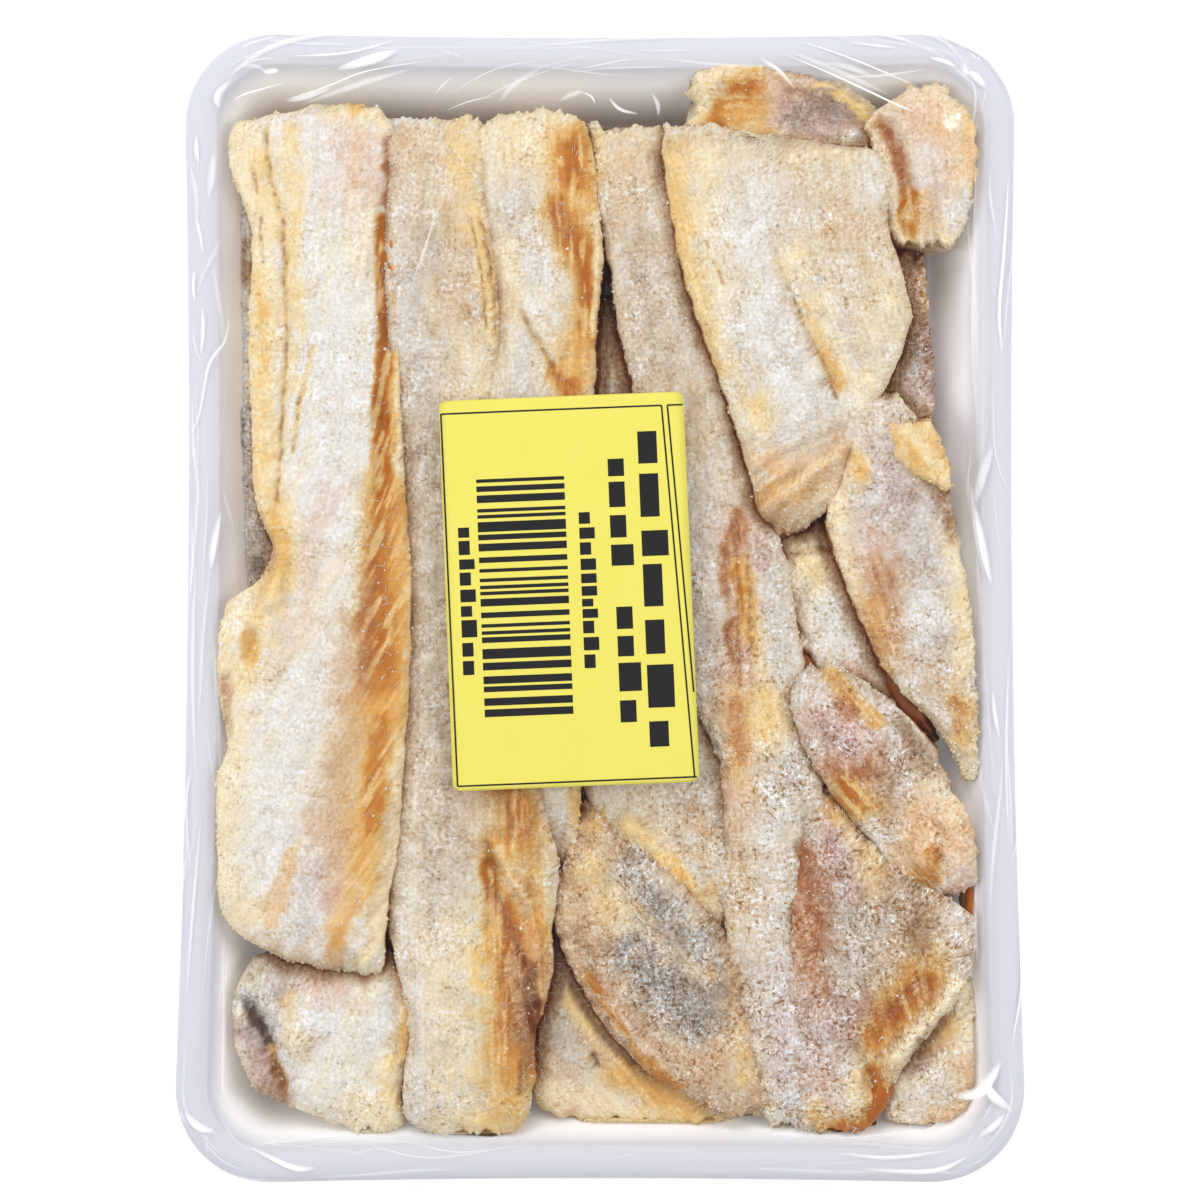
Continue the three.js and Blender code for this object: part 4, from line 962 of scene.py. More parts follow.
def salted_flesh():
    """Dried salted fish flesh. Salt dries out of it as a pale crust of fine threads over a clear amber
    ground, so it looks matt and light with many small brown flecks where the crust is open, and shows its
    own colour where it is wet. Frost thins the colour as clear layers do, through honey and cream, so it
    is a power of the tint and not white paint."""
    material, new = new_material("dried_salted_fish_flesh")
    tint = new("Attribute", attribute_name="tint")
    place = new("Attribute", attribute_name="grain").outputs["Vector"]
    fibre = new("Attribute", attribute_name="fibre").outputs["Vector"]
    dress = new("Attribute", attribute_name="dress")
    wet, frost, grain = new("SeparateXYZ", {0: dress}).outputs

    # The grain attribute is in millimetres, so each scale is one over a feature's size
    flat = dict(noise_dimensions="2D")
    fine = new("TexNoise", {"Vector": place, "Scale": 1 / 0.75, "Detail": 2.0, "Roughness": 0.6}, **flat)
    cloud = new("TexNoise", {"Vector": place, "Scale": 1 / 3.5, "Detail": 2.0}, **flat)
    aside = new("VectorMath", {0: place, 1: (37.0, 11.0, 0)}, operation="ADD")
    speck = new("TexNoise", {"Vector": aside, "Scale": 1 / 0.8, "Detail": 1.0}, **flat)
    curl = new("TexNoise", {"Vector": aside, "Scale": 1 / 0.7, "Detail": 0.0}, **flat)
    stretched = new("Mapping", {"Vector": fibre, "Scale": (1 / 0.8, 1 / 14.0, 1.0)})
    streak = new("TexNoise", {"Vector": stretched, "Scale": 1.0, "Detail": 1.0}, **flat)

    # Threads of salt lie where a coarser noise crosses its middle value, on grainy flesh
    off_thread = new("Math", {0: curl, 1: 0.5}, operation="SUBTRACT")
    off_thread = new("Math", {0: off_thread}, operation="ABSOLUTE")
    grainy = new("MapRange", {"Value": grain, "From Min": 0.3, "From Max": 1.0})
    thread = new("MapRange", {"Value": off_thread, "From Max": 0.06, "To Min": grainy, "To Max": 0.0})

    # Flecks are where the speck noise is low: more on grainy flesh and where the cloud of salt is thin
    level = new("Math", {0: grain, 1: 0.09, 2: 0.43}, operation="MULTIPLY_ADD")
    level = new("Math", {0: cloud, 1: -0.35, 2: level}, operation="MULTIPLY_ADD")
    past = new("Math", {0: speck, 1: level}, operation="SUBTRACT")
    dot = new("MapRange", {"Value": past, "From Min": -0.04, "From Max": 0.03, "To Min": 1.0, "To Max": 0.0})
    bold = new("MapRange", {"Value": grain, "From Max": 0.9, "To Min": 0.3, "To Max": 1.0})
    fleck = new("Math", {0: dot, 1: frost}, operation="MULTIPLY", use_clamp=True)
    fleck = new("Math", {0: fleck, 1: bold}, operation="MULTIPLY")

    # How thick the colour lies: thin under heaps and threads of salt, thick between them, and drawn out
    # along the fibres where it is wet
    heap = new("Math", {0: cloud, 1: 0.45, 2: -0.82}, operation="MULTIPLY_ADD")
    heap = new("Math", {0: fine, 1: 1.2, 2: heap}, operation="MULTIPLY_ADD")
    heap = new("Math", {0: thread, 1: 0.4, 2: heap}, operation="MULTIPLY_ADD")
    rough = new("MapRange", {"Value": grain, "To Min": 0.6, "To Max": 1.1})
    rough = new("Math", {0: rough, 1: frost}, operation="MULTIPLY")
    thin = new("Math", {0: heap, 1: rough}, operation="MULTIPLY")
    clear = new("MapRange", {"Value": frost, "To Min": 0.3, "To Max": 0.15})
    drawn = new("Math", {0: streak, 1: 0.5}, operation="SUBTRACT")
    drawn = new("Math", {0: drawn, 1: clear, 2: 1.0}, operation="MULTIPLY_ADD")
    thick = new("Math", {0: drawn, 1: thin}, operation="SUBTRACT")
    thick = new("Math", {0: thick, 1: 0.15}, operation="MAXIMUM")
    colour = new("VectorMath", {0: tint, 1: AMBER_GROUND}, operation="MULTIPLY")
    colour = new("Gamma", {"Color": colour, "Gamma": thick})
    colour = new("VectorMath", {0: colour, 1: AMBER_GROUND}, operation="DIVIDE")
    colour = new("VectorMath", {0: colour, 1: linear(WHITEST_SALT)}, operation="MINIMUM")
    in_fleck = new("VectorMath", {0: colour, 1: FLECK_TINT}, operation="MULTIPLY")
    colour = new("Mix", {0: fleck, 6: colour, 7: in_fleck}, data_type="RGBA")

    strength = new("MapRange", {"Value": grain, "To Min": 0.06, "To Max": 0.4})
    bump = new("Bump", {"Height": fine, "Strength": strength, "Distance": 0.4 * MM})
    roughness = new("MapRange", {"Value": wet, "From Max": 0.8, "To Min": 0.72, "To Max": 0.26})
    shader = new("BsdfPrincipled", {"Base Color": colour, "Roughness": roughness, "Normal": bump})
    new("OutputMaterial", {"Surface": shader})
    return material


def salt_crystal():
    """Coarse sea salt: broken crystals, white with bright facets."""
    material, new = new_material("coarse_salt_crystal")
    shader = new("BsdfPrincipled", {"Base Color": rgba("e2dfda"), "Roughness": 0.32, "IOR": 1.54})
    new("OutputMaterial", {"Surface": shader})
    return material


def brine_jelly():
    """Fish oil and brine set to a clear dark amber jelly, smooth and wet."""
    material, new = new_material("set_brine_jelly")
    place = new("TexCoord").outputs["Object"]
    cloud = new("TexNoise", {"Vector": place, "Scale": per_metre(3.0), "Detail": 2.0})
    clear = new("Attribute", attribute_name="clear").outputs["Fac"]
    share = new("Math", {0: cloud, 1: 0.5, 2: clear}, operation="MULTIPLY_ADD", use_clamp=True)
    colour = new("Mix", {0: share, 6: rgba("4a1204"), 7: rgba("b0600c")}, data_type="RGBA")
    shader = new("BsdfPrincipled", {
        "Base Color": colour, "Roughness": 0.16, "IOR": 1.4, "Subsurface Weight": 0.2,
        "Subsurface Radius": (1.0, 0.4, 0.1), "Subsurface Scale": 1.5 * MM, "Coat Weight": 0.4})
    new("OutputMaterial", {"Surface": shader})
    return material


def tray_foam():
    """Foamed polystyrene, thermoformed: a smooth white skin with fine closed cells that only just show. Its
    colour holds painted light and shade: over the rim it is drawn greyer than the walls, so that the
    brightly lit rim and the shaded walls come out close, and towards its floor at the ends, most at the top
    end, it is drawn taupe as painted shade where the wall and the fish shut out the light. It also glows
    faintly, a painted light that keeps its shaded sides pale."""
    material, new = new_material("thermoformed_polystyrene_foam")
    place = new("TexCoord").outputs["Object"]
    _, along, height = new("SeparateXYZ", {0: place}).outputs
    cells = new("TexVoronoi", {"Vector": place, "Scale": per_metre(0.9)})
    # Painted shade: the foam is drawn taupe towards its floor at the ends, most at the top end
    deep = new("MapRange", {"Value": height, "From Min": 18 * MM, "From Max": 6 * MM})
    at_top = new("MapRange", {"Value": along, "From Min": 50 * MM, "From Max": 95 * MM, "To Min": 0.04})
    at_foot = new("MapRange", {"Value": along, "From Min": -60 * MM, "From Max": -100 * MM, "To Max": 0.5})
    at_ends = new("Math", {0: at_top, 1: at_foot}, operation="MAXIMUM")
    painted_end_shade = new("Math", {0: deep, 1: at_ends}, operation="MULTIPLY")
    # Painted shade and light: the rim drawn greyer than the walls, so the lit rim and the shaded walls come
    # out close
    stretched = new("MapRange", {"Value": height, "From Min": 15 * MM, "From Max": 19 * MM})
    colour = new("Mix", {0: painted_end_shade, 6: rgba("f4f5f8"), 7: rgba("b3a99f")}, data_type="RGBA")
    colour = new("Mix", {0: stretched, 6: colour, 7: rgba("c3c4cc")}, data_type="RGBA")
    bump = new("Bump", {"Height": cells, "Strength": 0.2, "Distance": 0.12 * MM})
    # Painted light: the foam glows faintly in its own colour, so that its shaded sides stay pale
    shader = new("BsdfPrincipled", {
        "Base Color": colour, "Roughness": 0.55, "IOR": 1.4, "Normal": bump,
        "Emission Color": colour, "Emission Strength": 0.12})
    new("OutputMaterial", {"Surface": shader})
    return material


def stretch_film():
    """Clear PVC stretch film, blown and stretched: it can't be seen but for its gloss and its stretch folds.
    Its reflection follows the view angle alone, the same from both of its sides."""
    material, new = new_material("clear_pvc_stretch_film")
    facing = new("LayerWeight", {"Blend": 0.5}).outputs["Facing"]
    steep = new("Math", {0: facing, 1: 5.0}, operation="POWER")
    mirror = new("MapRange", {"Value": steep, "To Min": 0.02, "To Max": 1.0})
    clear = new("BsdfTransparent")
    gloss = new("BsdfGlossy", {"Color": (1, 1, 1, 1), "Roughness": 0.07})
    shader = new("MixShader", {0: mirror, 1: clear, 2: gloss})
    new("OutputMaterial", {"Surface": shader})
    return material


def film_fold_sheen():
    """The same film along its stretch folds, drawn milky white: a painted highlight for the gloss that the
    folds catch. It is kept as an attribute and fades to clear at the sides and ends of a fold."""
    material, new = new_material("pvc_film_fold_sheen")
    fold_sheen = new("Attribute", attribute_name="fold_sheen").outputs["Fac"]
    clear = new("BsdfTransparent")
    painted_sheen = new("BsdfPrincipled", {"Base Color": rgba("fbfbfd"), "Roughness": 0.3, "IOR": 1.45})
    shader = new("MixShader", {0: fold_sheen, 1: clear, 2: painted_sheen})
    new("OutputMaterial", {"Surface": shader})
    return material


def label_paper():
    """Coated label paper, dyed yellow: smooth, with a low sheen."""
    material, new = new_material("coated_yellow_label_paper")
    place = new("TexCoord").outputs["Object"]
    pulp = new("TexNoise", {"Vector": place, "Scale": per_metre(9), "Detail": 5.0})
    colour = new("Mix", {0: pulp, 6: rgba("ddd15c"), 7: rgba("e1d765")}, data_type="RGBA")
    shader = new("BsdfPrincipled", {"Base Color": colour, "Roughness": 0.5, "IOR": 1.45})
    new("OutputMaterial", {"Surface": shader})
    return material


def printing_ink():
    """Thermal print: a flat black, a little glossier than the paper."""
    material, new = new_material("black_thermal_print")
    shader = new("BsdfPrincipled", {"Base Color": rgba("17171a"), "Roughness": 0.42, "IOR": 1.5})
    new("OutputMaterial", {"Surface": shader})
    return material


def floor_paint():
    """White studio floor, matt and lit from within like a light table, so that shadows on it stay pale."""
    material, new = new_material("matt_white_floor")
    shader = new("BsdfPrincipled", {
        "Base Color": (0.8, 0.8, 0.8, 1), "Roughness": 1.0, "Specular IOR Level": 0.0,
        "Emission Color": (1, 1, 1, 1), "Emission Strength": 0.3})
    new("OutputMaterial", {"Surface": shader})
    return material


# The tray's plan and the film's dome

def outline(inset, corner_steps, side_steps, end_steps):
    """The tray's plan moved in by an inset, as a ring of points: straight sides with round corners, every
    point then pulled towards the middle where the film waists the sides and ends."""
    half = np.array([HALF_WIDTH, HALF_LENGTH]) - inset
    radius = max(CORNER_RADIUS - inset, LEAST_RADIUS)
    signs = np.array([(1, 1), (-1, 1), (-1, -1), (1, -1)])
    steps = np.array([end_steps, side_steps, end_steps, side_steps])
    angles = (np.arange(4)[:, None] + np.linspace(0, 1, corner_steps + 1)) * math.pi / 2
    arcs = np.stack([np.cos(angles), np.sin(angles)], axis=-1) * radius + (signs * (half - radius))[:, None]
    sides = [
        np.linspace(arcs[k, -1], arcs[(k + 1) % 4, 0], steps[k], endpoint=False)[1:] for k in range(4)
    ]
    ring = np.concatenate([part for k in range(4) for part in (arcs[k], sides[k])])
    return waisted(ring)


def waist(points):
    """What the film's pull multiplies x and y by at points: least at the middle of each side and end."""
    in_x = SIDE_WAIST * (1 - (points[..., 1] / HALF_LENGTH) ** 2) / HALF_WIDTH
    in_y = END_WAIST * (1 - (points[..., 0] / HALF_WIDTH) ** 2) / HALF_LENGTH
    return 1 - np.stack([in_x, in_y], axis=-1)


def waisted(points):
    """Points of the plan pulled in by the film."""
    return points * waist(points)


def clear_of_tray(points):
    """Points drawn in to stand clear of the tray's wall. At each height the room inside the wall is a box
    with round corners, waisted as the tray is, and a point outside it moves straight towards the corner's
    centre onto it."""
    wall = [(height, inset) for inset, height in TRAY_INSIDE[:-1]]
    inset = between(wall, points[..., 2])[..., None] + WALL_GAP
    pull = waist(points)
    plan = points[..., :2] / pull
    radius = np.maximum(CORNER_RADIUS - inset, LEAST_RADIUS)
    reach = (HALF_WIDTH, HALF_LENGTH) - inset - radius
    centre = np.clip(plan, -reach, reach)
    away = np.linalg.norm(plan - centre, axis=-1, keepdims=True)
    plan = centre + (plan - centre) * np.minimum(1, radius / np.maximum(away, 1e-9))
    return np.concatenate([plan * pull, points[..., 2:]], axis=-1)


def smooth_profile(corners, steps):
    """A curve through points, as cubic stretches whose slopes follow each point's neighbours."""
    p = np.asarray(corners, float)
    slopes = np.gradient(p, axis=0)
    t = np.linspace(0, 1, steps, endpoint=False)[:, None]
    stretch = [
        (2 * t**3 - 3 * t**2 + 1) * p[k] + (t**3 - 2 * t**2 + t) * slopes[k]
        + (3 * t**2 - 2 * t**3) * p[k + 1] + (t**3 - t**2) * slopes[k + 1] for k in range(len(p) - 1)
    ]
    return np.concatenate([*stretch, p[-1:]])


def build_tray(material):
    """The tray: its section carried round its plan."""
    section = smooth_profile([*TRAY_OUTSIDE, *TRAY_INSIDE], SECTION_STEPS)
    points = np.array([at_height(outline(inset, *TRAY_STEPS), height) for inset, height in section])
    faces = closed_faces(*points.shape[:2])
    add_piece("moulded_foam_tray", points, faces, material, ["foam_tray"])


# The fish

def cad_sections(node, places, across):
    """The edges, floor and crown of a solid at places along it, where its triangles' edges cross them."""
    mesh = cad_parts[node].data
    corners = np.empty(len(mesh.vertices) * 3)
    mesh.vertices.foreach_get("co", corners)
    ends = np.empty(len(mesh.edges) * 2, np.int32)
    mesh.edges.foreach_get("vertices", ends)
    start, stop = corners.reshape(-1, 3)[ends.reshape(-1, 2)].swapaxes(0, 1) / MM
    along, side = (0, 1) if across else (1, 0)
    span = stop[:, along] - start[:, along]
    share = (places[:, None] - start[:, along]) / np.where(np.abs(span) < 1e-6, 1e-6, span)
    crossed = (share >= 0) & (share <= 1)
    sides = start[:, side] + share * (stop[:, side] - start[:, side])
    heights = start[:, 2] + share * (stop[:, 2] - start[:, 2])
    low = np.where(crossed, sides, np.inf).min(axis=1)
    high = np.where(crossed, sides, -np.inf).max(axis=1)
    floor = np.where(crossed, heights, np.inf).min(axis=1)
    crown = np.where(crossed, heights, -np.inf).max(axis=1)
    return low, high, floor, crown


def inside_by(side, low, high, places, from_end):
    """How far points lie in from the edges and ends of a piece, rounded where two edges meet."""
    slope_low = np.hypot(1, np.gradient(low, places))[:, None]
    slope_high = np.hypot(1, np.gradient(high, places))[:, None]
    gaps = np.stack([(side - low[:, None]) / slope_low, (high[:, None] - side) / slope_high, from_end])
    return np.clip(-np.log(np.exp(-2 * gaps).sum(axis=0)) / 2, 0, None)


COLOURS = {
    name: np.array([*np.log(linear(seen) / LIGHT_GAIN), wet, frost])
    for name, (seen, wet, frost) in COLOURS_SEEN.items()
}


def painted(look, x, y, across_fibre, from_edge, crease, seed):
    """Red, green, blue, wetness, frost and grain over a piece: its base, then its rim and creases, then
    its marks in turn, each strongest on its path, feathered along the fibres and broken up by crumbs. The
    creases are darkened through honey to a thin broken brown line, painted shade that stands partly for
    their own wetter amber. The colours are logarithms, so that they mix as clear layers do and white turns
    amber through cream and honey. Each noise has a seed of its own, and x and y over a number have features
    of that many millimetres."""
    warp_x = x + 0.5 * layered(x / 5, y / 5, seed + 1) + 0.25 * noise(x / 0.9, y / 0.9, seed + 15)
    warp_y = y + 0.9 * layered(across_fibre / 1.3, y / 9, seed + 2) + 0.8 * noise(x / 2.5, y / 2.5, seed + 3)
    dress = np.broadcast_to(COLOURS[look["base"]], (*x.shape, GRAIN)).copy()
    grain = between(look.get("grain", USUAL_GRAIN), y)
    grain = np.clip(grain + 0.25 * layered(x / 12, y / 12, seed + 17), 0.1, 1.2)

    def lay(colour, weight):
        weight = np.clip(weight, 0, 1)
        dress[...] += (COLOURS[colour] - dress) * weight[..., None]
        if colour == "salt":
            grain[...] *= 1 - 0.4 * weight

    lay("salt", 0.5 * np.clip(layered(x / 7, y / 9, seed + 4), 0, 1))
    lay("tan", 0.25 * np.clip(layered(x / 5, y / 6, seed + 5), 0, 1))
    streaks = layered(across_fibre / 1.7, y / 20, seed + 16)
    lay("cream", 0.6 * (1 - grain) * np.clip(streaks, 0, 1))
    lay("salt", (1 - grain) * np.clip(-streaks, 0, 1))
    lay("cream", 0.7 * (1 - grain) * np.clip(layered(across_fibre / 0.7, y / 16, seed + 24), 0, 1))
    lay(look["rim"], 0.75 * np.exp(-(from_edge / 1.5) ** 2))
    # painted shade in the creases, partly their own wetter amber
    lay("honey", 0.5 * crease)
    broken = layered(x / 2.1, y / 2.6, seed + 21)
    for colour, strength, width, path in look["marks"]:
        sharpness = 2 if width > 1.7 else 4
        share = 1.1 * strength * np.exp(-(distance_to(path, warp_x, warp_y) / (1.25 * width)) ** sharpness)
        share = np.clip(share, 0, 1)
        dry = max(1 - COLOURS[colour][WET], look.get("crumbly", 0))
        lay(colour, share + 1.3 * dry * share * (1 - share) * broken)
    strands = layered(across_fibre / 0.9, y / 9, seed + 25) + 0.5 * noise(x / 1.6, y / 3, seed + 26)
    lay("cream", np.clip(1.6 * dress[..., WET], 0, 1) * np.clip(1.7 * strands - 0.25, 0, 0.75))
    # painted shade: a thin broken brown line along the bottom of each crease
    lay("brown", crease**3 * np.clip(0.2 + noise(x / 0.9, y / 0.9, seed + 23), 0, 0.55))
    lay("ivory", 0.4 * grain * np.clip(2 * layered(x / 1.5, y / 1.5, seed + 22) - 0.7, 0, 1))
    dress[..., FROST] *= look["frost"] * (1 + 0.4 * layered(x / 3.2, y / 3.2, seed + 6))
    return np.concatenate([dress, grain[..., None]], axis=-1)


def shape_fish(name, look, seed):
    """A piece of fish: the solid's edges made ragged, and over them a crowned surface that rolls off at
    the edges, with creases, folds, lumps, fibres and crumbs. Returns its rings of points, and over its top
    the dress, the places among the fibres, how far in from the edge it is, and how far its edge and its
    creases fall."""
    across = look.get("across", False)
    along_axis = 0 if across else 1
    low_corner, high_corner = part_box(name)
    start = low_corner[along_axis] / MM + END_MARGIN
    end = high_corner[along_axis] / MM - END_MARGIN
    reach = look.get("reach", (0, 0))
    rows = int((end - start) / SPACING) + 2
    places = np.linspace(start - reach[0], end + reach[1], rows)
    low, high, floor, crown = cad_sections(name, np.clip(places, start, end), across)
    start, end = places[[0, -1]]

    # Its edges, tucked under its neighbours and then made ragged
    tuck_low, tuck_high = [between(amounts, places) for amounts in look.get("tuck", (0, 0))]
    smooth_low = eased(low, EDGE_EASING) - tuck_low
    smooth_high = eased(high, EDGE_EASING) + tuck_high
    coarse = between(look.get("grain", USUAL_GRAIN), places)
    ragged = 0.45 + 0.55 * coarse + 1.8 * look.get("crumbly", 0)
    one = np.ones(rows)
    teeth_low = 0.32 * layered(places / 2.6, 0.5 * one, seed + 11) + 0.12 * noise(places, one, seed)
    teeth_high = 0.32 * layered(places / 2.6, 9.5 * one, seed + 12) + 0.12 * noise(places, 5 * one)
    low = smooth_low + ragged * teeth_low
    high = smooth_high + ragged * teeth_high
    crown = eased(crown, CROWN_EASING) + look.get("raised", 0)
    columns = int((high - low).max() / SPACING) + 2

    # Its top's plan, with points closer together towards the edges and ragged ends
    share = np.linspace(-1, 1, columns)
    share = share * (1.2 - 0.2 * share**2)
    side = (low + high)[:, None] / 2 + (high - low)[:, None] / 2 * share
    along = np.broadcast_to(places[:, None], side.shape)
    from_end = np.minimum(along - start, end - along)
    end_teeth = (0.8 + 0.1 * ragged[:, None]) * layered(side / 2.0, along * 0 + 3.5, seed + 13)
    along = along + end_teeth * np.exp(-from_end / 3)
    x, y = (along, side) if across else (side, along)
    from_edge = np.minimum(inside_by(side, smooth_low, smooth_high, places, from_end) + 0.3,
                           3 * inside_by(side, low, high, places, from_end))
    drift = np.cumsum(between(look.get("lean", 0), places)) * (places[1] - places[0])
    across_fibre = side - drift[:, None]

    # What shapes its surface from the largest forms to the finest
    roll = np.clip(1 - from_edge / EDGE_ROUND, 0, 1)
    below = EDGE_ROUND * (1 - np.sqrt(1 - roll**2))
    sag = SAG * np.clip(1 - from_edge / SAG_REACH, 0, 1) ** 2
    inner = np.clip(from_edge / 1.2, 0.3, 1)
    wander = x + 0.3 * noise(x / 1.8, y / 1.8, seed + 7)
    relief = np.zeros(x.shape)
    crease = np.zeros(x.shape)
    for height, width, path in look.get("relief", []):
        share = np.exp(-(distance_to(path, wander, y) / width) ** 2)
        relief += height * share
        if height < 0 and width < CREASE_WIDTH:
            crease = np.maximum(crease, share)
    dress = painted(look, x, y, across_fibre, from_edge, crease, seed)
    lumps = 0.5 * layered(x / 9, y / 12, seed + 8) + 0.2 * layered(x / 3, y / 3.6, seed + 9)
    fibres = look.get("silky", 0.05) * layered(across_fibre / 1.3, along / 14, seed + 10, 2)
    lumps = look.get("lumpy", 1.0) * lumps + fibres
    knobs = 0.6 - 2 * np.abs(noise(x / 1.9, y / 1.9, seed + 19))
    knobs = 0.6 * dress[..., GRAIN] * np.exp(-from_edge / 2.2) * knobs
    crumbs = 0.1 * noise(x / 1.5, y / 1.5, seed + 14) + 0.07 * noise(x / 0.8, y / 0.8, seed + 18)
    dry = np.clip(1.15 - 1.2 * dress[..., WET], 0.2, 1) * (0.4 + dress[..., GRAIN])
    top = crown[:, None] - below - sag + inner * (lumps + relief) + (crumbs + knobs) * dry

    # Its rings: a foot and the middle of a side, the top, and the same again
    wall = (top[:, [0, -1]] + floor[:, None]) / 2
    foot_in = np.minimum(FOOT_SHARE * (high - low), FOOT_MOST)
    ring_side = np.column_stack([smooth_low + foot_in, smooth_low + WALL_IN, side, smooth_high - WALL_IN,
                                 smooth_high - foot_in])
    ring_along = np.column_stack([along[:, :1], along[:, :1], along, along[:, -1:], along[:, -1:]])
    ring_z = np.column_stack([floor, wall[:, 0], top, wall[:, 1], floor])
    ring_x, ring_y = (ring_along, ring_side) if across else (ring_side, ring_along)
    points = clear_of_tray(np.stack([ring_x, ring_y, ring_z], axis=-1))
    fibre = np.stack([across_fibre, along, top], axis=-1)
    return points, dress, fibre, from_edge, below + np.clip(-relief, 0, None)


def depth_below_heap(surfaces, levels, reach):
    """How far each level over a piece lies below the highest point of the fish near it, as the mean over
    growing reaches, so that it fades with distance. The heap's heights are kept in a map of small cells,
    each raised to the highest of its neighbours step by step."""
    heights = np.zeros(HEAP_MAP)
    spots = []
    for points, *_ in surfaces:
        top = points[OVER_TOP]
        row = np.round(top[..., 1] / HEAP_CELL).astype(int) + HEAP_MAP[0] // 2
        column = np.round(top[..., 0] / HEAP_CELL).astype(int) + HEAP_MAP[1] // 2
        np.maximum.at(heights, (row, column), top[..., 2])
        spots.append((row, column))
    steps = round(reach / HEAP_CELL)
    depths = [np.zeros(level.shape) for level in levels]
    for _ in range(steps):
        heights = raised_to_neighbours(heights)
        for depth, spot, level in zip(depths, spots, levels):
            depth += np.clip(heights[spot] - level, 0, None) / steps
    return depths


def build_fish(material):
    """All the pieces of fish. Where a piece meets a higher one, painted shade darkens the foot of each step
    through brown to a thin dark line, as the higher piece shadows it. Returns the top points, their dress
    and how far in they lie."""
    surfaces = [shape_fish(name, look, SEED_STEP * k) for k, (name, look) in enumerate(FISH.items())]
    tops_z = [points[OVER_TOP][..., 2] for points, *_ in surfaces]
    unrolled = [top + below for top, (*_, below) in zip(tops_z, surfaces)]
    in_step_shade = depth_below_heap(surfaces, unrolled, STEP_SHADE[1])
    in_crevice_shade = depth_below_heap(surfaces, tops_z, CREVICE_SHADE[1])
    tops = []
    for (name, look), surface, *depths in zip(FISH.items(), surfaces, in_step_shade, in_crevice_shade):
        points, dress, fibre, from_edge, _ = surface
        top = points[OVER_TOP]
        inside = (HEAP_HALF - np.abs(top[..., :2])) / OPEN_EDGE_FADE
        shade_kept = np.clip(inside, 0, 1).prod(axis=-1)
        # Painted shade: the foot of each step is darkened towards brown and a thin dark line, less near open
        # outer edges
        for (colour, _, strength, start, span), depth in zip((STEP_SHADE, CREVICE_SHADE), depths):
            share = strength * np.clip((depth - start) / span, 0, 1) * shade_kept
            dress[..., :GRAIN] += (COLOURS[colour] - dress[..., :GRAIN]) * share[..., None]
        dress[..., :WET] = np.exp(dress[..., :WET])

        faces = closed_faces(*points.shape[:2])
        if look.get("across"):
            faces = [face[::-1] for face in faces]
        piece = add_piece(name + "_flesh", points, faces, material, [name])
        ring = [0, 0, *range(dress.shape[1]), -1, -1]
        sides = np.apply_along_axis(eased, 0, dress[:, [0, -1]], SIDE_EASING)
        around = dress[:, ring]
        around[:, [0, 1]] = sides[:, :1]
        around[:, [-2, -1]] = sides[:, 1:]
        add_dress(piece, points, around, fibre[:, ring])
        tops.append((top.reshape(-1, 3), dress.reshape(-1, dress.shape[-1]), from_edge.ravel()))
    return [np.concatenate(parts) for parts in zip(*tops)]


def add_dress(piece, points, dress, fibre):
    """The colour, the wetness, frost and grain, and the places among the grains and among the fibres, at
    each point of a piece. Height is mixed into the grain's place so that steep sides have grain too."""
    points = points.reshape(-1, 3)
    dress = dress.reshape(-1, dress.shape[-1])
    add_attribute(piece, "tint", dress[:, :WET])
    add_attribute(piece, "dress", dress[:, WET:])
    add_attribute(piece, "grain", (points + 0.6 * points[:, 2:]) * (1, 1, 0))
    add_attribute(piece, "fibre", fibre.reshape(-1, 3))


# Crumbs and salt

def turned_frames(count):
    """Random turns, as matrices: two random directions square to each other, and the third from them."""
    first = RANDOM.normal(size=(count, 3))
    first /= np.linalg.norm(first, axis=1, keepdims=True)
    second = np.cross(first, RANDOM.normal(size=(count, 3)))
    second /= np.linalg.norm(second, axis=1, keepdims=True)
    return np.stack([first, second, np.cross(first, second)], axis=1)


def spots_with_salt(dress, count):
    """Points of the fish drawn at random, more of them where the frost is thick or the flesh is wet."""
    chance = np.clip(dress[:, FROST] + dress[:, WET], 0.05, None)
    return RANDOM.choice(len(dress), size=count, p=chance / chance.sum())


def drawn_sizes(least, greatest, count, power):
    """Sizes drawn at random, small ones more often the higher the power."""
    return least + (greatest - least) * RANDOM.random(count) ** power


def build_crumbs(tops, dress, from_edge, material):
    """Loose crumbs of flesh along the edges: small uneven lumps of twenty faces, coloured as what they lie
    on."""
    golden = (1 + 5 ** 0.5) / 2
    lump = np.array([(s, golden * t, 0) for s in (-1, 1) for t in (-1, 1)])
    lump = np.concatenate([lump, np.roll(lump, 1, axis=1), np.roll(lump, 2, axis=1)]) / math.hypot(1, golden)
    corners = len(lump)
    close = np.linalg.norm(lump[:, None] - lump, axis=-1) < 1.1
    faces = np.array([(a, b, c) for a, b, c in itertools.combinations(range(corners), 3)
                      if close[a, b] and close[b, c] and close[a, c]])
    facing = np.cross(lump[faces[:, 1]] - lump[faces[:, 0]], lump[faces[:, 2]] - lump[faces[:, 0]])
    inward = (facing * lump[faces[:, 0]]).sum(axis=1) < 0
    faces[inward] = faces[inward][:, ::-1]
    chance = np.exp(-(from_edge / 1.1) ** 2) * np.clip(1 - dress[:, WET], 0.1, 1)
    chosen = RANDOM.choice(len(tops), size=CRUMBS, p=chance / chance.sum())
    half = drawn_sizes(*CRUMB_HALF, CRUMBS, 2)
    uneven = RANDOM.uniform(0.65, 1.2, (CRUMBS, corners, 1)) * RANDOM.uniform(0.7, 1.2, (CRUMBS, 1, 3))
    points = lump * uneven * half[:, None, None] + tops[chosen][:, None]
    faces = copies_of(faces, corners, CRUMBS)
    piece = add_piece("flesh_crumbs", points, faces, material)
    add_dress(piece, points, np.repeat(dress[chosen], corners, axis=0), points)


